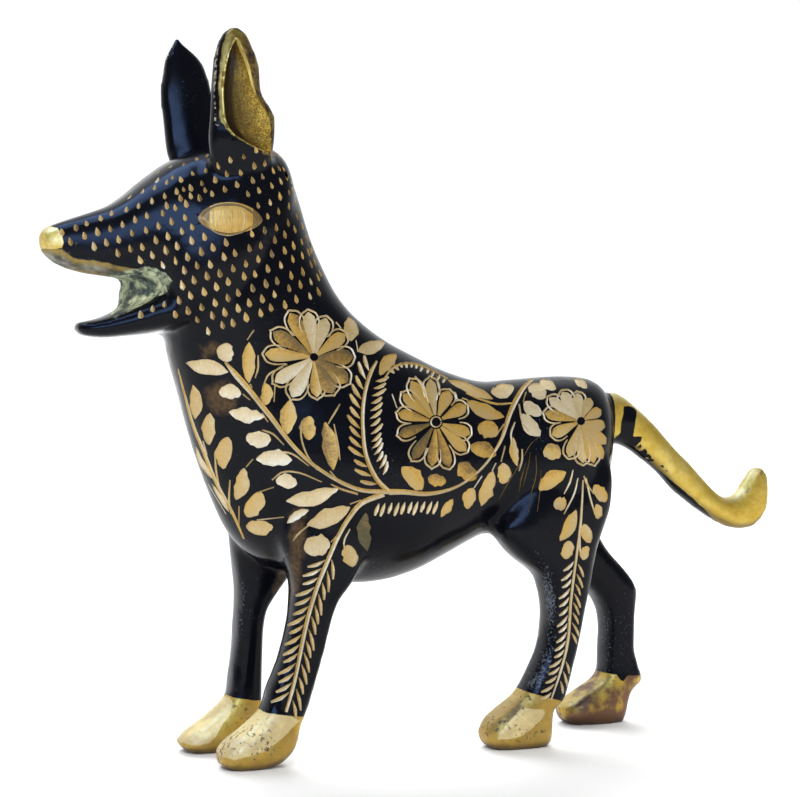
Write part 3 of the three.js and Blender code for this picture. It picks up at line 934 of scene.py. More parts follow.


# One mark's slab, laid on the body, with its facets painted lighter or darker by how they face the light:
# painted light and shade.
# A mark that would lie over an edge, or on the right past the middle, gives none.
def markSlab(tree, mark, side):
    grid = mark["grid"] if side < 0 else movedToRightLeg(mark["grid"])
    rows, lines = grid.shape[:2]
    points, normals = layOnBody(tree, grid.reshape(-1, 2), side)
    if points is None:
        return None
    points, normals = points.reshape(rows, lines, 3), smoothed(normals.reshape(rows, lines, 3))
    flat = np.linalg.norm(np.diff(grid, axis=0), axis=2) * pixel
    real = np.linalg.norm(np.diff(points, axis=0), axis=2)
    stretch, more = markForm["stretch"]
    if (real > stretch * flat + more).any():
        return None
    if side > 0 and points[..., 1].min() < markForm["fromMiddle"]:
        return None
    legTop, ahead = markForm["legFront"]
    if side > 0 and points[..., 2].max() < legTop and normals[..., 0].min() < ahead:
        return None
    depths = np.broadcast_to(np.array(mark["depths"]), (rows, lines)) * mark["deeper"]
    corners, faces = slab(points, normals, depths, np.full((rows, lines), markForm["clear"]))
    tones = np.full(len(faces), mark["tone"])
    floorQuads = (rows - 1) * (lines - 1)
    # Painted light and shade: the facet facing the light is painted paler, the other darker.
    facesLight = (mark["grid"][:, -1] - mark["grid"][:, 0]).mean(axis=0) @ markForm["light"] > 0
    if mark["kind"] == "stem":
        lit = int(facesLight)
        tones[lit:floorQuads:2] += markForm["stemFacetShading"][0]
        tones[1 - lit:floorQuads:2] += markForm["stemFacetShading"][1]
    elif lines == 5:
        paintedFacetShade = np.array(markForm["leafFacetShading"])[::1 if facesLight else -1]
        tones[:floorQuads] += np.tile(paintedFacetShade, rows - 1)
    return corners, faces, np.clip(tones, 0.02, 1), runsOf(points)


# One punch mark: a teardrop laid in the skin's own plane at its centre, point upwards. Its half
# width goes as sin(pi s^0.62)^0.8 along it, and its depth as sin(pi s^0.7) (1 - 0.7 |v|).
def punchSlab(tree, centre, side, tone, size):
    points, normals = layOnBody(tree, centre[None, :], side)
    if points is None or (side > 0 and points[0, 1] < markForm["fromMiddle"]):
        return None
    normal = normals[0]
    upwards = np.array(punches["upwards"])
    upwards -= normal * (upwards @ normal)
    if np.linalg.norm(upwards) < 0.25:
        upwards = np.array(punches["upwardsOnTop"])
        upwards -= normal * (upwards @ normal)
    upwards /= np.linalg.norm(upwards)
    sideways = np.cross(upwards, normal)
    rows = 6
    s = np.linspace(0, 1, rows)[:, None]
    half = np.maximum(np.sin(np.pi * s ** 0.62) ** 0.8, 0.08) * punches["width"] / 2 * size
    v = np.array([-1, 0, 1.0])[None, :]
    spots = (points[0] + upwards * ((s - 0.45) * punches["length"] * size)[..., None]
             + sideways * (half * v)[..., None])
    deep, least = punches["depth"]
    depth = deep * np.sin(np.pi * np.clip(s ** 0.7, 0.05, 0.97)) * (1 - 0.7 * np.abs(v)) + least
    top = np.full(spots.shape[:2], punches["clear"])
    corners, faces = slab(spots, np.broadcast_to(normal, spots.shape), depth, top)
    tones = np.full(len(faces), tone)
    # Painted light and shade: one facet of each mark is painted paler and the other darker.
    floorQuads = 2 * (rows - 1)
    tones[0:floorQuads:2] -= punches["paintedFacetShade"]
    tones[1:floorQuads:2] += punches["paintedFacetShade"]
    return corners, faces, np.clip(tones, 0.02, 0.98), runsOf(spots)


# Marks that share a cell of the sheet go into different passes, so no pass cuts itself
def sortedIntoPasses(cells):
    passes, taken = [], []
    for number, own in enumerate(cells):
        for group, used in zip(passes, taken):
            if not (own & used):
                group.append(number)
                used |= own
                break
        else:
            passes.append([number])
            taken.append(set(own))
    return passes


cellSize = 1.6                   # of the sheet, in its pixels


# The cells that a mark's grid covers, and those next to them: the grid is filled in evenly, six
# steps along and four across each of its squares
def cellsOf(grid):
    rows = np.concatenate([grid[:-1] * (1 - share) + grid[1:] * share for share in np.linspace(0, 1, 7)])
    filled = [rows[:, :-1] * (1 - share) + rows[:, 1:] * share for share in np.linspace(0, 1, 5)]
    spots = np.concatenate([part.reshape(-1, 2) for part in filled])
    spots = np.unique(np.round(spots / cellSize).astype(int), axis=0)
    return {(x + i, y + j) for x, y in spots.tolist() for i in (-1, 0, 1) for j in (-1, 0, 1)}


lacquer = bpy.data.materials.new("lacquer")
brightCut = bpy.data.materials.new("brightCut")
dog.data.materials.clear()
dog.data.materials.append(lacquer)
dog.data.materials.append(brightCut)
dog.data.polygons.foreach_set("material_index", np.zeros(len(dog.data.polygons), np.int32))


# The hollow of an ear: lines across the blade at each height, sunk by the depths along them and
# less towards the foot and the tip
def cutHollow(name, side):
    tree = bodyTree(dog)
    rows = np.array(earForm[name])
    hollow = throughRows(earForm["hollow"], 2)
    share = np.linspace(0, 1, 13)
    spots, depths = [], []
    for z, first, last in hollow:
        front = np.interp(z, rows[:, 0], rows[:, 1])
        length = np.interp(z, rows[:, 0], rows[:, 2]) - front
        line = []
        for x in front + shift + length * (first + (last - first) * share):
            start = Vector((x * mm, side * 40 * mm, z * mm))
            line.append(tree.ray_cast(start, Vector((0, -side, 0)))[0])
        spots.append(line)
        ends = min(1.0, (z - hollow[0, 0]) / 4.5 + 0.12, (hollow[-1, 0] - z) / 3.0 + 0.12)
        depths.append(np.interp(share, *np.array(earForm["hollowDepth"]).T) * ends)
    points = np.array([[list(spot) for spot in line] for line in spots]) / mm
    normals = np.broadcast_to(np.array([0.0, side, 0.0]), points.shape)
    corners, faces = slab(points, normals, np.array(depths), np.full(points.shape[:2], 2.0))
    booleanWith(dog, toolObject("hollow", [(corners, faces, 0.5, runsOf(points))], 0), "DIFFERENCE")


# The blades are joined again as drawn, because the merged skin rounds their edges
for name, side in (("left", -1), ("right", 1)):
    blade = skinObject(name + "Ear", [earSkin(earForm[name], side, earForm["inset"])])
    booleanWith(dog, blade, "UNION")
    cutHollow(name, side)
print("ears joined", len(dog.data.vertices), "points")


# An almond on each cheek, highest along its middle
def raiseEyes():
    tree = bodyTree(dog)
    for side in (-1, 1):
        grid = leafGrid(eyeForm["front"], eyeForm["rear"], eyeForm["width"], -0.02, 0.62, 0, 0, 17)
        rows, lines = grid.shape[:2]
        points, normals = layOnBody(tree, grid.reshape(-1, 2), side)
        points, normals = points.reshape(rows, lines, 3), smoothed(normals.reshape(rows, lines, 3))
        crown = 1 - np.linspace(-1, 1, lines)[None, :] ** 2
        low, high = eyeForm["lift"]
        ends = np.sin(np.pi * np.linspace(0.06, 0.94, rows))[:, None]
        lift = low + (high - low) * crown * ends
        corners, faces = slab(points, normals, np.full((rows, lines), eyeForm["sink"]), lift)
        share = np.repeat((np.arange(rows - 1) + 0.5) / (rows - 1), lines - 1)
        iris = (share > eyeForm["iris"][0]) & (share < eyeForm["iris"][1])
        irisTone, whiteTone, sideTone = eyeForm["tones"]
        tone = np.full(len(faces), sideTone)
        quads = (rows - 1) * (lines - 1)
        tone[quads:2 * quads] = np.where(iris, irisTone, whiteTone)
        booleanWith(dog, toolObject("eye", [(corners, faces, tone, runsOf(points))]), "UNION")


raiseEyes()
print("eyes raised", len(dog.data.polygons), "faces")

# Lines of the eye, with width, depth and tone: lids, the two sides of the iris, and the corners
eyeLines = [
    ([(202, 216), (213, 207), (228, 204.5), (244, 207), (259, 218)], 2.6, 0.2, 0.93),
    ([(203, 220), (213, 230), (228, 234), (244, 231), (258, 222)], 2.2, 0.2, 0.80),
    ([(206, 223), (215, 232), (228, 235.5), (243, 232.5)], 1.1, 0.3, 0.04),
    ([(214, 209), (213, 219), (215, 230)], 1.3, 0.25, 0.08),
    ([(242, 209), (244.5, 219), (242, 231)], 1.3, 0.25, 0.10),
    ([(203, 217), (211, 225)], 1.1, 0.2, 0.2),
]
for points, width, depth, tone in eyeLines:
    grid = ribbonGrid(points, (width * 0.7, width, width * 0.7), 4.0)
    addMark(grid, (0.05, depth, 0.05), tone, "eyeLine")


# The slabs of both sides' marks by number. A right one that would meet a left one is left out.
def laidMarks(tree):
    slabs = {-1: {}, 1: {}}
    leftLimit, rightLimit = markForm["overMiddle"]
    nearMiddle = []
    for number, mark in enumerate(marks):
        made = markSlab(tree, mark, -1)
        if made is not None:
            slabs[-1][number] = made
            nearMiddle.append(made[0][made[0][:, 1] > leftLimit])
    over = np.vstack([part for part in nearMiddle if len(part)] or [np.zeros((0, 3))])
    for number, mark in enumerate(marks):
        made = markSlab(tree, mark, 1)
        if made is None:
            continue
        edge = made[0][made[0][:, 1] < rightLimit][::2]
        if len(edge) and len(over):
            if np.linalg.norm(edge[:, None] - over[None], axis=2).min() < markForm["apart"]:
                continue
        slabs[1][number] = made
    return slabs


# The slabs of both sides' punch marks, no two alike. A right one that would meet a left one over
# the middle is left out.
def laidPunches(tree, centres, rng):
    least, more, spread = punches["sizes"]
    middleTone, toneSpread = punches["tone"]
    dots = []
    for side in (-1, 1):
        for centre in centres:
            size = least + more * min(1, max(0, (centre[1] - 200) / 60)) + rng.normal() * spread
            tone = middleTone + toneSpread * rng.normal()
            made = punchSlab(tree, centre, side, float(np.clip(tone, 0.1, 0.7)), size)
            if made is None:
                continue
            if side > 0 and len(beyond):
                if np.linalg.norm(made[0].mean(0) - beyond, axis=1).min() < punches["apart"]:
                    continue
            dots.append(made)
        beyond = np.array([dot[0].mean(0) for dot in dots if dot[0][:, 1].max() > -4]).reshape(-1, 3)
    return dots


# Cut the punch marks in one go, and then the other marks in passes that don't overlap
def engrave():
    tree = bodyTree(dog)
    rng = np.random.default_rng(11)
    cells = [cellsOf(mark["grid"]) for mark in marks]
    used = set().union(*cells)
    clear = [c for c in punchCentres() if tuple(int(round(v / cellSize)) for v in c) not in used]
    for mark in marks:
        mark["deeper"] = rng.uniform(*markForm["deeper"])
        mark["tone"] = float(np.clip(mark["tone"] + rng.normal() * markForm["toneSpread"], 0, 1))
    slabs = laidMarks(tree)
    passes = sortedIntoPasses(cells)
    print("passes", [len(group) for group in passes], "left", len(slabs[-1]), "right", len(slabs[1]))
    dots = laidPunches(tree, clear, rng)
    print("punch marks", len(dots))
    groups = [[slabs[side][n] for side in (-1, 1) for n in group if n in slabs[side]] for group in passes]
    for group in [dots] + groups:
        if group:
            booleanWith(dog, toolObject("cuts", group), "DIFFERENCE")


# The boolean can leave slivers loose: two faces back to back on the same points
def removeSlivers(piece):
    mesh = bmesh.new()
    mesh.from_mesh(piece.data)
    onPoints = {}
    for face in mesh.faces:
        onPoints.setdefault(frozenset(face.verts), []).append(face)
    slivers = [face for faces in onPoints.values() if len(faces) > 1 for face in faces]
    bmesh.ops.delete(mesh, geom=slivers, context="FACES")
    mesh.to_mesh(piece.data)
    mesh.free()
    print("slivers removed", len(slivers))


smoothBody = dog.data.copy()
for polygon in smoothBody.polygons:
    polygon.use_smooth = True
smoothBody.set_sharp_from_angle(angle=np.radians(50))
engrave()
removeSlivers(dog)
print("engraved", len(dog.data.polygons), "faces")


# Cuts keep their facets, and the lacquer takes its shading from the skin before it was cut
def finishSkin():
    mesh = dog.data
    materials = np.empty(len(mesh.polygons), np.int32)
    mesh.polygons.foreach_get("material_index", materials)
    cut = materials == 1
    mesh.polygons.foreach_set("use_smooth", ~cut)
    group = dog.vertex_groups.new(name="lacquered")
    uncut = [polygon for polygon, isCut in zip(mesh.polygons, cut) if not isCut]
    onSkin = sorted({v for polygon in uncut for v in polygon.vertices})
    group.add(onSkin, 1.0, "REPLACE")
    source = bpy.data.objects.new("smoothBody", smoothBody)
    bpy.context.scene.collection.objects.link(source)
    transfer = dog.modifiers.new("shading", "DATA_TRANSFER")
    transfer.object = source
    transfer.use_loop_data = True
    transfer.data_types_loops = {"CUSTOM_NORMAL"}
    transfer.loop_mapping = "POLYINTERP_NEAREST"
    transfer.vertex_group = "lacquered"
    applyModifiers(dog)
    bpy.data.objects.remove(source)


finishSkin()
triangles = sum(len(polygon.vertices) - 2 for polygon in dog.data.polygons)
print("shaded", len(dog.data.polygons), "faces,", triangles, "triangles")

# Where the bare brass, the hollows of the ears, the lip and the mouth lie
zones = {
    # height of the brass on each paw, and its rise for each millimetre rearwards
    "pawTops": {"leftFore": (14.6, -0.16), "rightFore": (14.8, -0.16),
                "leftHind": (14.6, -0.30), "rightHind": (14.6, -0.10)},
    "tailFrom": 66.0,
    "tailOver": 57.0,
    "tailReach": 6.2,            # sideways
    "tailBand": [(624, 406), (630, 406), (637, 410), (636, 421), (633, 437), (642, 436), (641, 444),
                 (634, 447), (624, 442), (612, 439), (620, 434), (622, 422)],
    "tailSpots": [[(638, 442), (644, 446), (649, 454), (656, 461), (650, 460), (641, 451)],
                  [(659, 463), (664, 465), (672, 474), (665, 471)],
                  [(609, 440), (626, 442), (640, 452), (655, 467), (672, 481), (688, 494), (704, 509),
                   (716, 521), (712, 528), (690, 514), (665, 494), (640, 470), (612, 452)]],
    "nose": [(30, 222), (58, 228), (64, 240), (62, 248), (52, 250), (42, 250), (30, 252)],
    "halfHighlight": -0.08,           # nose and hook: a painted highlight between the raw brass and the pale one
    "lip": [(38, 248), (54, 249), (66, 252), (76, 259), (96, 261), (130, 268), (150, 272), (140, 284),
            (118, 282), (90, 276), (60, 272), (40, 264)],
    "mouth": [(108, 276), (126, 270), (150, 267), (166, 273), (172, 283), (166, 292), (150, 300),
              (138, 307), (124, 313), (112, 318)],
    "rubbed": [[(198, 345), (214, 341), (222, 349), (206, 359)],
               [(203, 386), (226, 380), (241, 393), (236, 414), (216, 413), (203, 400)],
               [(289, 512), (302, 506), (307, 530), (304, 560), (298, 590), (288, 602), (290, 560),
                (288, 530)]],
    "scuffed": [(524, 544), (539, 572), (544, 608), (544, 641), (537, 668), (523, 688), (538, 697),
                (553, 674), (560, 640), (560, 604), (556, 574), (546, 544)],
    # painted highlights on the paws' lit facets
    "pawHighlights": {
        "leftFore": [(262, 708), (281, 712), (300, 720), (288, 733), (277, 743), (263, 752), (247, 757),
                     (234, 760), (222, 757), (214, 748), (232, 734), (250, 718)],
        "leftHind": [(523, 708), (546, 710), (543, 718), (532, 729), (518, 738), (496, 740), (499, 733),
                     (509, 722), (516, 714)],
        "rightFore": [(222, 694), (233, 700), (230, 715), (221, 728), (212, 742), (198, 746),
                      (178, 742), (176, 728), (196, 716), (212, 704)],
    },
    # painted highlight on the hook's inner face
    "hookHighlight": [(722, 500), (728, 499), (740, 502), (748, 498), (752, 488), (758, 476), (764, 468),
                 (758, 460), (750, 462), (742, 472), (736, 484), (728, 492)],
    "hookStains": [[(744, 492), (749, 486), (752, 488), (748, 495)],
                   [(758, 475), (763, 467), (766, 470), (760, 478)]],
    # painted shade along the crease between the near hind paw's facets
    "pawGrooveShade": [(512, 710), (521, 703), (522, 707), (514, 717), (505, 726), (497, 736), (501, 726)],
    "rightNotch": [(604, 660), (610, 670), (617, 673), (622, 684), (628, 674), (636, 667), (642, 656)],
    "earRim": 0.10,              # share of the ear's length left black in front
}


farOut = -9.0                    # the distance given to what lies away from a zone


# The skin's points: where each lies on the part, on the drawing and on the sheet, and which way it
# faces. On the sheet the right side is mirrored on to the left, and seenXY is without that.
class pointsOfSkin:
    def __init__(self, mesh):
        places = np.empty(len(mesh.vertices) * 3)
        mesh.vertices.foreach_get("co", places)
        places = places.reshape(-1, 3) / mm
        normals = np.empty(len(mesh.vertices) * 3)
        mesh.vertex_normals.foreach_get("vector", normals)
        self.normals = normals.reshape(-1, 3)
        self.x, self.y, self.z = places.T
        self.drawnX = self.x - shift
        self.side = np.where(self.y < 0, -1, 1)
        mirror = np.stack([np.ones_like(self.side), -self.side, np.ones_like(self.side)], axis=1)
        self.sheetXY = toSheet(places * mirror)
        self.seenXY = toSheet(places)
        self.onTail = (self.z > zones["tailOver"]) & (np.abs(self.y) < zones["tailReach"])
        self.onHead = self.z > 115
        self.rightHind = (self.y > 0) & (self.drawnX > 40)

    def allOut(self):
        return np.full(len(self.x), farOut)

    def onLeg(self, name):
        ownSide = np.sign(self.y) == (-1 if name.startswith("left") else 1)
        return ownSide & ((self.drawnX < 0) == name.endswith("Fore"))

    # Millimetres inside an outline of the sheet
    def inside(self, outline):
        return insideBy(self.sheetXY, outline) * pixel

    def insideSeen(self, outline):
        return insideBy(self.seenXY, outline) * pixel


# Bare brass: the paws up to a slanting line, the tail but for its band and spots, and the nose
def brassZone(p):
    brass = p.allOut()
    for name, (height, rise) in zones["pawTops"].items():
        rows = np.array(legForm[name])
        middle = np.interp(height, rows[:, 0], (rows[:, 1] + rows[:, 2]) / 2)
        line = height + rise * np.clip(p.drawnX - middle, -9, 9)
        brass = np.where(p.onLeg(name), line - p.z, brass)
    tail = p.drawnX - zones["tailFrom"]
    brass = np.where(p.onTail & (tail > -4), tail, brass)
    for patch in [zones["tailBand"]] + zones["tailSpots"]:
        brass = np.where(p.onTail & (tail > 0), np.minimum(brass, -p.inside(patch)), brass)
    notch = np.minimum(brass, -p.insideSeen(zones["rightNotch"]))
    brass = np.where(p.rightHind & (p.z < 25), notch, brass)
    return np.where(p.onHead & (p.drawnX < -90), p.inside(zones["nose"]), brass)


# Painted highlights: the pale facets of the paws, and the half pale hook and nose
def highlightZone(p):
    paleHighlight = p.allOut()
    for name, patch in zones["pawHighlights"].items():
        paleHighlight = np.where(p.onLeg(name) & (p.z < 20), p.insideSeen(patch), paleHighlight)
    hook = np.minimum(p.inside(zones["hookHighlight"]), zones["halfHighlight"])
    paleHighlight = np.where(p.onTail & (p.drawnX > 98), hook, paleHighlight)
    return np.where(p.onHead & (p.drawnX < -90), zones["halfHighlight"], paleHighlight)


# Dark lines: painted shade in the groove between the near hind paw's facets, and the stains of the hook
def grooveShadeAndStainZone(p):
    grooveShadeAndStains = np.where((p.y < 0) & (p.z < 20), p.insideSeen(zones["pawGrooveShade"]), farOut)
    for patch in zones["hookStains"]:
        grooveShadeAndStains = np.where(p.onTail & (p.drawnX > 98), np.maximum(grooveShadeAndStains, p.inside(patch)), grooveShadeAndStains)
    return grooveShadeAndStains


# Lacquer rubbed brown, in a few patches
def rubbedZone(p):
    rubbed = p.allOut()
    for patch in zones["rubbed"]:
        rubbed = np.maximum(rubbed, p.inside(patch))
    return rubbed


# The lip round the nose and along the upper jaw
def lipZone(p):
    nose = p.inside(zones["nose"])
    lip = np.where(p.onHead & (p.drawnX < -66), p.inside(zones["lip"]), farOut)
    return np.where(nose > 0, -nose, lip)


# The bare part of each ear, its hollow, and each point's share of the ear's length from the front
def earZones(p):
    ear = p.allOut()
    hollow = p.allOut()
    along = np.zeros(len(p.x))
    outline = np.array(earForm["hollow"])
    foot, tip = outline[0, 0], outline[-1, 0]
    first = np.interp(p.z, outline[:, 0], outline[:, 1])
    last = np.interp(p.z, outline[:, 0], outline[:, 2])
    for name, earSide in (("left", -1), ("right", 1)):
        rows = np.array(earForm[name])
        front = np.interp(p.z, rows[:, 0], rows[:, 1])
        length = np.interp(p.z, rows[:, 0], rows[:, 2]) - front
        share = (p.drawnX - front) / length
        out = earSide * (p.y - earMiddle(p.z, earSide))
        inHollow = np.minimum.reduce([(share - first) * length, (last - share) * length,
                                      p.z - foot + 0.3, tip + 0.3 - p.z])
        above = np.minimum((share - zones["earRim"]) * length, p.z - 175)
        around = np.minimum((share - first) * length + 0.8, p.z - foot + 0.8)
        own = (p.side == earSide) & (p.z > 165)
        ear = np.where(own, np.minimum(np.maximum(around, above), out - 0.4), ear)
        hollow = np.where(own & (out > -1), inHollow, hollow)
        along = np.where(own, share, along)
    return ear, hollow, along


# Signed distances in millimetres to each zone's edge, positive inside, and a few plain shares
def markZones(mesh):
    p = pointsOfSkin(mesh)
    ear, hollow, along = earZones(p)
    values = {
        "brass": brassZone(p),
        "lip": lipZone(p),
        "mouth": np.where(p.onHead & (p.drawnX < -58), p.inside(zones["mouth"]), farOut),
        "ear": ear,
        "hollow": hollow,
        "earShare": along,
        "rubbed": rubbedZone(p),
        "scuffed": np.where((p.y < 0) & (p.drawnX > 15) & (p.z < 62), p.inside(zones["scuffed"]), farOut),
        "paleHighlight": highlightZone(p),
        "grooveShadeAndStains": grooveShadeAndStainZone(p),
        "stained": np.where(p.rightHind, 1.0, 0.35),
        "under": -p.normals[:, 2],
        "ahead": np.where(p.z < 62, -p.normals[:, 0], 0),
    }
    for name, value in values.items():
        attribute = mesh.attributes.new(name, "FLOAT", "POINT")
        attribute.data.foreach_set("value", value.astype(np.float32))


markZones(dog.data)
print("zones marked")


# Small helpers for a material's nodes
class nodeTools:
    def __init__(self, material):
        material.use_nodes = True
        self.tree = material.node_tree
        self.shader = self.tree.nodes["Principled BSDF"]

    def add(self, kind, inputs=None, **settings):
        node = self.tree.nodes.new(kind)
        for name, value in settings.items():
            setattr(node, name, value)
        for name, value in (inputs or {}).items():
            self.put(node.inputs[name], value)
        return node

    def put(self, socket, value):
        if isinstance(value, bpy.types.NodeSocket):
            self.tree.links.new(value, socket)
        else:
            socket.default_value = value

    def place(self):
        return self.add("ShaderNodeTexCoord").outputs["Object"]

    def noise(self, vector, scale, detail=3.0, rough=0.55):
        inputs = {"Vector": vector, "Scale": scale, "Detail": detail, "Roughness": rough}
        return self.add("ShaderNodeTexNoise", inputs).outputs["Fac"]

    def value(self, name):
        return self.add("ShaderNodeAttribute", attribute_name=name).outputs["Fac"]

    def math(self, operation, a, b, clamp=False):
        node = self.add("ShaderNodeMath", operation=operation, use_clamp=clamp)
        self.put(node.inputs[0], a)
        self.put(node.inputs[1], b)
        return node.outputs[0]

    def plus(self, a, b, clamp=False):
        return self.math("ADD", a, b, clamp)

    def times(self, a, b):
        return self.math("MULTIPLY", a, b)

    def larger(self, a, b):
        return self.math("MAXIMUM", a, b)

    # A noise, which lies round a half, as a swing to both sides of zero
    def swing(self, noise, amount):
        return self.times(self.math("SUBTRACT", noise, 0.5), amount)

    # From start to stop as the factor goes from low to high, eased at both ends
    def ramp(self, factor, low, high, start=0.0, stop=1.0):
        inputs = {"Value": factor, "From Min": low, "From Max": high, "To Min": start, "To Max": stop}
        return self.add("ShaderNodeMapRange", inputs, interpolation_type="SMOOTHSTEP").outputs["Result"]

    def colours(self, factor, stops):
        node = self.add("ShaderNodeValToRGB", {"Fac": factor})
        ramp = node.color_ramp
        while len(ramp.elements) < len(stops):
            ramp.elements.new(0.5)
        for element, (at, colour) in zip(ramp.elements, stops):
            element.position = at
            element.color = (*colour, 1)
        return node.outputs["Color"]

    def mix(self, factor, a, b):
        node = self.add("ShaderNodeMix", data_type="RGBA")
        self.put(node.inputs["Factor"], factor)
        self.put(node.inputs["A"], (*a, 1) if isinstance(a, tuple) else a)
        self.put(node.inputs["B"], (*b, 1) if isinstance(b, tuple) else b)
        return node.outputs["Result"]

    def blend(self, factor, a, b):
        node = self.add("ShaderNodeMix", data_type="FLOAT")
        self.put(node.inputs["Factor"], factor)
        self.put(node.inputs["A"], a)
        self.put(node.inputs["B"], b)
        return node.outputs["Result"]

    def bump(self, height, strength, distance):
        node = self.add("ShaderNodeBump", {"Height": height, "Strength": strength, "Distance": distance})
        return node.outputs["Normal"]


# The noises: scale, where larger is finer, then detail and roughness
patterns = {
    "fine": (900, 4),
    "middle": (260, 4),
    "broad": (70, 3),
    "scuff": (1500, 5, 0.7),
    "stain": (95, 4, 0.6),
    "earGrain": (2200, 3, 0.7),
    "cutGrain": (700, 3),
    "cutPatina": (170, 3),
    "cutStreak": (1.0, 2),
    "streakStretch": (34.0, 5.0, 1.0),     # along and across the graver's run
    "waver": 3.0,                # mm that a zone's edge may swing, before its own share
}

# The lacquer. A range is where a mix starts and is full, and a second pair its two strengths.
lacquerFinish = {
    "black": (0.0022, 0.0026, 0.0048),
    "roughness": (0.3, 0.7, 0.12, 0.26),
    "specular": 0.12,
    "scuff": (0.16, 0.19, 0.24),
    "scuffBroad": 0.35,
    "scuffAhead": (0.5, 0.95, 0.0, 0.07),      # more where the legs face ahead
    "scuffStrip": (-0.5, 2.0, 0.0, 0.15),      # and down the front of the hind leg
    "scuffRange": (0.85, 0.92),
    "scuffShare": 0.5,
    "rubbed": (0.115, 0.070, 0.030),
    "rubbedSwing": 4.0,
    "rubbedRange": (-0.8, 1.8),
    "rubbedGrain": (0.30, 0.70, 0.3, 0.7),
    "bump": (0.55, 0.0006),      # strength and height in metres
    "ruggedness": 0.06,
    "middleWaves": 1.5,
    "broadWaves": 0.9,
}

# The bare brass of the paws, tail and nose
brassFinish = {
    "edge": (0.1, 0.28),         # softness and waver of its border, mm
    "stops": [(0.0, (0.36, 0.225, 0.035)), (0.3, (0.50, 0.34, 0.05)), (0.65, (0.56, 0.40, 0.08)),
              (1.0, (0.63, 0.49, 0.14))],
    "tintMix": (0.55, 0.45),
    "tintRange": (0.22, 0.72),
    "roughness": (0.3, 0.7, 0.34, 0.52),
    "metallic": (0.7, 0.25),     # raw, and where the pale highlight is painted
    "ruggedness": 0.4,
    # painted highlight: the colour of brass that faces up
    "top": (0.69, 0.59, 0.29),
    "topHighlightRange": (-0.25, -0.8),
    "topHighlightShare": 0.6,
    # painted shade: the browner colour of the paws' sides
    "side": (0.44, 0.265, 0.045),
    "shadedSideHeights": (0.030, 0.022),
    "shadedSidePale": (0.3, -0.3),
    "sideShadeShare": 0.45,
    # painted highlight on the paws' pale facets, the hook and the nose
    "paleHighlight": (0.69, 0.57, 0.28),
    "paleWaver": 0.3,
    "paleRange": (-0.12, 0.12),
    "paleGrain": (0.2, 0.5, 0.55, 0.95),
    # dark spots, and also the painted shade of the groove and the undersides
    "spot": (0.06, 0.04, 0.035),
    "grooveWaver": 0.4,
    "grooveRange": (-0.1, 0.3),
    "grooveShare": 0.5,
    "stain": (0.10, 0.045, 0.05),
    "stainFoot": (0.008, 0.0, 0.0, 0.12),      # more towards the sole
    "stainMore": 0.07,
    "stainRange": (0.44, 0.60),
    "stainShare": 0.85,
    "pawHeights": (0.028, 0.020),
    "spotMix": (0.6, 0.5),
    "spotRange": (0.645, 0.70),
    "spotShares": (0.12, 0.85),  # above the paws, and on them
    # painted shade where the brass faces down
    "underShadeRange": (0.15, 0.75),
    "underShadeShare": 0.7,
}

# The stained lip and the verdigris in the mouth
mouthFinish = {
    "lipBorder": (0.3, 0.5),
    "mouthBorder": (0.3, 1.0),
    "roughness": 0.72,
    "lipStops": [(0.0, (0.03, 0.03, 0.026)), (0.5, (0.11, 0.11, 0.09)), (1.0, (0.27, 0.27, 0.22))],
    "lipRange": (0.3, 0.7),
    "lipEdge": (0.26, 0.185, 0.045),
    "lipEdgeRange": (2.2, 0.4),
    "lipEdgeGrain": (0.3, 0.55, 0.4, 1.0),
    "mouthStops": [(0.0, (0.02, 0.024, 0.022)), (0.38, (0.085, 0.105, 0.095)), (0.62, (0.27, 0.31, 0.19)),
                   (1.0, (0.62, 0.64, 0.44))],
    "mouthMix": (0.7, 0.3),
    "mouthRange": (0.30, 0.68),
}

# The ears: the hollow's floor, painted darker towards the front as shade, a painted shadow along its front
# wall, the bright line round it, the rim and its chips
earFinish = {
    "border": (0.15, 0.35),
    "hollowStops": [(0.0, (0.03, 0.018, 0.006)), (0.35, (0.10, 0.06, 0.012)), (0.62, (0.19, 0.112, 0.017)),
                    (1.0, (0.64, 0.43, 0.07))],
    # painted shade: the floor lightens from the front of the ear to the rear
    "floorShadeShare": (0.25, 0.95),
    "grainMix": (0.7, 0.3),
    "grainRange": (0.30, 0.70),
    "floorMix": (0.42, 0.55),
    # colour of the painted shadow inside the hollow's front edge
    "wall": (0.035, 0.022, 0.010),
    "wallReach": (3.6, 2.7),
    "wallShare": (0.56, 0.44),
    "rimStops": [(0.0, (0.12, 0.085, 0.018)), (0.5, (0.20, 0.14, 0.032)), (1.0, (0.31, 0.22, 0.06))],
    "rimRange": (0.3, 0.7),
    "rimStain": (0.045, 0.025, 0.030),
    "stainShare": (0.62, 0.80),
    "stainMiddle": 0.5,
    "stainGrain": (0.66, 0.80, 1.0, 0.35),
    "line": (0.72, 0.56, 0.17),
    "lineInside": (0.55, 0.25),
    "lineOutside": (-0.4, -0.1),
    "lineShare": (0.9, 0.7),
    "lineStrength": 0.9,
    "floorRange": (-0.1, 0.3),
    "chip": (0.42, 0.37, 0.28),
    "chipOuter": (-1.25, -1.0),
    "chipInner": (-0.65, -0.85),
    "chipGrain": (0.46, 0.60),
    "chipShare": (0.16, 0.10),
    "chipStrength": 0.8,
}

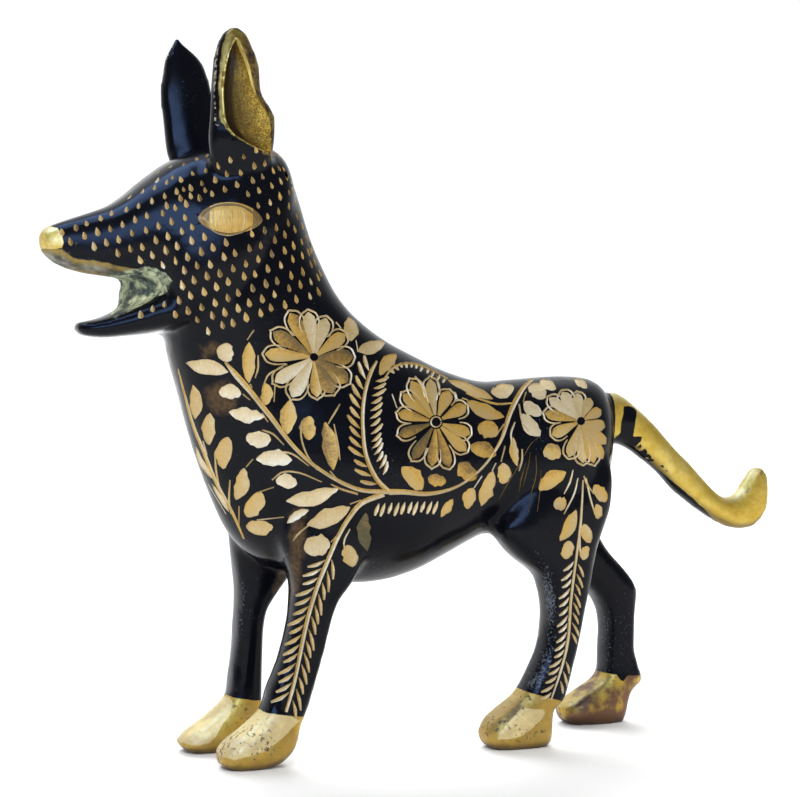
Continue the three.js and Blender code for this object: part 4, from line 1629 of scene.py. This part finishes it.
# The cut brass: tones from pale to tarnished
cutFinish = {
    "stops": [(0.0, (0.70, 0.61, 0.43)), (0.22, (0.57, 0.47, 0.28)), (0.45, (0.46, 0.34, 0.155)),
              (0.66, (0.50, 0.31, 0.065)), (0.84, (0.21, 0.125, 0.035)), (1.0, (0.075, 0.068, 0.032))],
    "streaks": 0.36,
    "patina": 0.34,
    "grains": 0.20,
    "metallic": 0.45,
    "roughness": (0.3, 0.7, 0.34, 0.5),
    "bump": (0.5, 0.0002),
}


# Two noises added up by the given shares
def added(n, a, b, shares):
    return n.plus(n.times(a, shares[0]), n.times(b, shares[1]))


# How far a point lies in a zone, 0 to 1, with a soft and wavering border
def inZone(n, name, border):
    soft, waver = border
    return n.ramp(n.plus(n.value(name), n.times(n.waver, waver)), -soft, soft)


# Black, scuffed blue grey in specks and rubbed brown in patches
def lacquerColour(n):
    f = lacquerFinish
    worn = n.plus(n.noise(n.at, *patterns["scuff"]), n.times(n.broad, f["scuffBroad"]))
    worn = n.plus(worn, n.ramp(n.value("ahead"), *f["scuffAhead"]))
    worn = n.plus(worn, n.ramp(n.value("scuffed"), *f["scuffStrip"]))
    scuffs = n.times(n.ramp(worn, *f["scuffRange"]), f["scuffShare"])
    rubbed = n.plus(n.value("rubbed"), n.swing(n.middle, f["rubbedSwing"]))
    smear = n.times(n.ramp(rubbed, *f["rubbedRange"]), n.ramp(n.fine, *f["rubbedGrain"]))
    return n.mix(smear, n.mix(scuffs, f["black"], f["scuff"]), f["rubbed"])


# How strongly the painted highlight lies on the bare brass, patchy
def highlightShare(n):
    f = brassFinish
    inside = n.ramp(n.plus(n.value("paleHighlight"), n.times(n.waver, f["paleWaver"])), *f["paleRange"])
    return n.times(inside, n.ramp(n.fine, *f["paleGrain"]))


# Bare brass: painted lighter on top where the light falls, painted browner at the paws' sides as shade,
# with painted highlights on their pale facets, and then the groove's painted shade and the hook's stains,
# the spots, and painted shade on the undersides over it
def brassColour(n, paleHighlight):
    f = brassFinish
    colour = n.colours(n.ramp(added(n, n.middle, n.broad, f["tintMix"]), *f["tintRange"]), f["stops"])
    # Painted highlight: brass that faces up is painted lighter.
    top = n.times(n.ramp(n.value("under"), *f["topHighlightRange"]), f["topHighlightShare"])
    colour = n.mix(top, colour, f["top"])
    height = n.add("ShaderNodeSeparateXYZ", {0: n.at}).outputs["Z"]
    onPaw = n.ramp(height, *f["pawHeights"])
    # Painted shade: the paws' sides away from their pale facets are painted browner.
    side = n.times(n.ramp(height, *f["shadedSideHeights"]), n.ramp(n.value("paleHighlight"), *f["shadedSidePale"]))
    colour = n.mix(n.times(side, f["sideShadeShare"]), colour, f["side"])
    colour = n.mix(paleHighlight, colour, f["paleHighlight"])
    # Painted shade in the paw's groove, with the hook's stains
    grooveShadeAndStains = n.ramp(n.plus(n.value("grooveShadeAndStains"), n.times(n.waver, f["grooveWaver"])), *f["grooveRange"])
    colour = n.mix(n.times(grooveShadeAndStains, f["grooveShare"]), colour, f["spot"])
    stain = n.plus(n.noise(n.at, *patterns["stain"]), n.ramp(height, *f["stainFoot"]))
    stain = n.plus(stain, n.times(n.value("stained"), f["stainMore"]))
    strength = n.times(n.times(onPaw, f["stainShare"]), n.value("stained"))
    colour = n.mix(n.times(n.ramp(stain, *f["stainRange"]), strength), colour, f["stain"])
    spots = n.ramp(added(n, n.fine, n.broad, f["spotMix"]), *f["spotRange"])
    spots = n.times(spots, n.blend(onPaw, *f["spotShares"]))
    # Painted shade: brass that faces down is painted dark, in the colour of the spots.
    under = n.times(n.ramp(n.value("under"), *f["underShadeRange"]), f["underShadeShare"])
    return n.mix(n.larger(spots, under), colour, f["spot"])


# Stained brass, with a line of bright brass along its edge
def lipColour(n):
    f = mouthFinish
    colour = n.colours(n.ramp(n.middle, *f["lipRange"]), f["lipStops"])
    edge = n.times(n.ramp(n.value("lip"), *f["lipEdgeRange"]), n.ramp(n.fine, *f["lipEdgeGrain"]))
    return n.mix(edge, colour, f["lipEdge"])


# Verdigris, mottled from black green to pale green
def mouthColour(n):
    f = mouthFinish
    return n.colours(n.ramp(added(n, n.middle, n.fine, f["mouthMix"]), *f["mouthRange"]), f["mouthStops"])


# Chips in the lacquer along the ear's front edge
def chipShare(n):
    f = earFinish
    chips = n.times(n.ramp(n.value("ear"), *f["chipOuter"]), n.ramp(n.value("ear"), *f["chipInner"]))
    chips = n.times(chips, n.ramp(n.fine, *f["chipGrain"]))
    chips = n.times(chips, n.ramp(n.value("earShare"), *f["chipShare"]))
    return n.times(chips, f["chipStrength"])


# The rim, stained towards the rear, the hollow painted darker towards its front and with a painted shadow
# along its front wall, and the bright line between them
def earColour(n):
    f = earFinish
    share = n.value("earShare")
    inHollow = n.value("hollow")
    grain = added(n, n.noise(n.at, *patterns["earGrain"]), n.middle, f["grainMix"])
    # Painted shade: the hollow's floor darkens towards the ear's front.
    tint = added(n, n.ramp(share, *f["floorShadeShare"]), n.ramp(grain, *f["grainRange"]), f["floorMix"])
    floor = n.colours(tint, f["hollowStops"])
    # Painted shadow inside the hollow's edge, in its front half.
    wall = n.times(n.ramp(inHollow, *f["wallReach"]), n.ramp(share, *f["wallShare"]))
    floor = n.mix(wall, floor, f["wall"])
    rim = n.colours(n.ramp(n.middle, *f["rimRange"]), f["rimStops"])
    mottling = n.ramp(n.plus(n.fine, n.times(n.middle, f["stainMiddle"])), *f["stainGrain"])
    rim = n.mix(n.times(n.ramp(share, *f["stainShare"]), mottling), rim, f["rimStain"])
    line = n.times(n.ramp(inHollow, *f["lineInside"]), n.ramp(inHollow, *f["lineOutside"]))
    line = n.times(n.times(line, n.ramp(share, *f["lineShare"])), f["lineStrength"])
    return n.mix(line, n.mix(n.ramp(inHollow, *f["floorRange"]), rim, floor), f["line"])


# The cast skin: lacquer with the zones laid over it one by one
def makeLacquer():
    n = nodeTools(lacquer)
    n.at = n.place()
    n.fine = n.noise(n.at, *patterns["fine"])
    n.middle = n.noise(n.at, *patterns["middle"])
    n.broad = n.noise(n.at, *patterns["broad"])
    n.waver = n.swing(n.middle, patterns["waver"])
    brass = inZone(n, "brass", brassFinish["edge"])
    ear = inZone(n, "ear", earFinish["border"])
    lip = inZone(n, "lip", mouthFinish["lipBorder"])
    mouth = inZone(n, "mouth", mouthFinish["mouthBorder"])
    paleHighlight = highlightShare(n)
    colour = n.mix(brass, lacquerColour(n), brassColour(n, paleHighlight))
    colour = n.mix(lip, colour, lipColour(n))
    colour = n.mix(mouth, colour, mouthColour(n))
    colour = n.mix(chipShare(n), colour, earFinish["chip"])
    n.put(n.shader.inputs["Base Color"], n.mix(ear, colour, earColour(n)))

    metal = n.larger(brass, ear)
    dull = n.larger(lip, mouth)
    rough = n.ramp(n.broad, *lacquerFinish["roughness"])
    rough = n.blend(metal, rough, n.ramp(n.fine, *brassFinish["roughness"]))
    n.put(n.shader.inputs["Roughness"], n.blend(dull, rough, mouthFinish["roughness"]))
    bare = n.math("SUBTRACT", metal, dull, True)
    n.put(n.shader.inputs["Metallic"], n.times(bare, n.blend(paleHighlight, *brassFinish["metallic"])))
    n.shader.inputs["Specular IOR Level"].default_value = lacquerFinish["specular"]
    rugged = n.larger(n.times(metal, brassFinish["ruggedness"]), dull)
    rugged = n.plus(rugged, lacquerFinish["ruggedness"])
    height = n.times(n.plus(n.fine, n.times(n.middle, lacquerFinish["middleWaves"])), rugged)
    height = n.plus(height, n.times(n.broad, lacquerFinish["broadWaves"]))
    n.put(n.shader.inputs["Normal"], n.bump(height, *lacquerFinish["bump"]))


# The cut brass: its tone from the mark, streaked across the graver's run
def makeBrightCut():
    f = cutFinish
    n = nodeTools(brightCut)
    at = n.place()
    run = n.add("ShaderNodeUVMap", uv_map="cut").outputs["UV"]
    run = n.add("ShaderNodeMapping", {"Vector": run, "Scale": patterns["streakStretch"]}).outputs[0]
    streaks = n.noise(run, *patterns["cutStreak"])
    tone = n.plus(n.value("tone"), n.swing(streaks, f["streaks"]))
    tone = n.plus(tone, n.swing(n.noise(at, *patterns["cutPatina"]), f["patina"]))
    tone = n.plus(tone, n.swing(n.noise(at, *patterns["cutGrain"]), f["grains"]), True)
    n.put(n.shader.inputs["Base Color"], n.colours(tone, f["stops"]))
    n.shader.inputs["Metallic"].default_value = f["metallic"]
    n.put(n.shader.inputs["Roughness"], n.ramp(streaks, *f["roughness"]))
    n.put(n.shader.inputs["Normal"], n.bump(streaks, *f["bump"]))


makeLacquer()
makeBrightCut()
print("finishes made")

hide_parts("dog")
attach(dog, "root")


# The camera stands at the eye of the sheet
def photoCamera():
    data = bpy.data.cameras.new("photoCamera")
    data.lens = view["lens"]
    data.sensor_width = view["film"]
    camera = bpy.data.objects.new("photoCamera", data)
    bpy.context.scene.collection.objects.link(camera)
    axes = np.stack([rightAxis, upAxis, backAxis], axis=1)
    place = Matrix.Translation(Vector((eyePoint * mm).tolist()))
    camera.matrix_world = place @ Matrix(axes.tolist()).to_4x4()
    bpy.context.scene.camera = camera


photoCamera()

# A white floor under a pale backdrop, soft lights, and cool ones for the gleams in the lacquer
studio = {
    "floorSize": 1.9,
    "floorPaint": (0.86, 0.9),   # whiteness and roughness
    "world": (0.96, 0.98, 1.0),
    "worldFade": (-0.1, 0.75, 0.20, 1.12),       # where it starts and is full, and how strong
    "aim": (0.0, 0.0, 0.1),      # where the lamps point
    "lamps": {                   # place in metres, size, power, colour, and whether it lights or gleams
        "key": ((-0.6, -1.0, 1.0), (0.8, 0.8), 17.0, (1.0, 0.98, 0.94), "lights"),
        "fill": ((0.9, -0.9, 0.4), (0.4, 0.9), 6.0, (1.0, 0.96, 0.88), "lights"),
        "back": ((0.5, 1.2, 1.0), (0.8, 0.5), 8.0, (1.0, 1.0, 1.0), "lights"),
        "backdrop": ((0.3, 1.7, 1.6), (1.6, 1.6), 60.0, (1.0, 1.0, 1.0), "lights"),
        "front": ((-0.53, -0.85, 0.40), (1.0, 0.30), 10.5, (0.28, 0.48, 1.0), "gleams"),
        "sky": ((-0.50, 0.15, 1.2), (0.9, 0.7), 18.0, (0.30, 0.50, 1.0), "gleams"),
    },
}


# A sky that is brighter behind the dog than before it
def makeWorld():
    world = bpy.data.worlds.new("studio")
    bpy.context.scene.world = world
    world.use_nodes = True
    tree = world.node_tree
    place = tree.nodes.new("ShaderNodeTexCoord")
    parts = tree.nodes.new("ShaderNodeSeparateXYZ")
    ramp = tree.nodes.new("ShaderNodeMapRange")
    ramp.interpolation_type = "SMOOTHSTEP"
    for name, value in zip(("From Min", "From Max", "To Min", "To Max"), studio["worldFade"]):
        ramp.inputs[name].default_value = value
    tree.links.new(place.outputs["Generated"], parts.inputs[0])
    tree.links.new(parts.outputs["Y"], ramp.inputs["Value"])
    tree.links.new(ramp.outputs["Result"], tree.nodes["Background"].inputs["Strength"])
    tree.nodes["Background"].inputs["Color"].default_value = (*studio["world"], 1)


# A white square of floor under the dog
def makeFloor():
    r = studio["floorSize"]
    mesh = bpy.data.meshes.new("floor")
    mesh.from_pydata([(-r, -r, 0), (r, -r, 0), (r, r, 0), (-r, r, 0)], [], [(0, 1, 2, 3)])
    floor = bpy.data.objects.new("floor", mesh)
    bpy.context.scene.collection.objects.link(floor)
    paint = bpy.data.materials.new("floorPaint")
    whiteness, roughness = studio["floorPaint"]
    shader = nodeTools(paint).shader
    shader.inputs["Base Color"].default_value = (whiteness, whiteness, whiteness, 1)
    shader.inputs["Roughness"].default_value = roughness
    mesh.materials.append(paint)


# Lamps that light the lacquer but don't gleam in it, and lamps that only gleam
def makeLamps():
    for name, (place, size, power, colour, use) in studio["lamps"].items():
        lamp = bpy.data.lights.new(name, "AREA")
        lamp.shape = "RECTANGLE"
        lamp.size, lamp.size_y = size
        lamp.energy = power
        lamp.color = colour
        piece = bpy.data.objects.new(name, lamp)
        bpy.context.scene.collection.objects.link(piece)
        piece.location = place
        away = Vector(place) - Vector(studio["aim"])
        piece.rotation_euler = away.to_track_quat("Z", "Y").to_euler()
        piece.visible_glossy = use == "gleams"
        piece.visible_diffuse = use == "lights"


makeFloor()
makeWorld()
makeLamps()
bpy.context.scene.view_settings.view_transform = "Standard"
print("studio made")
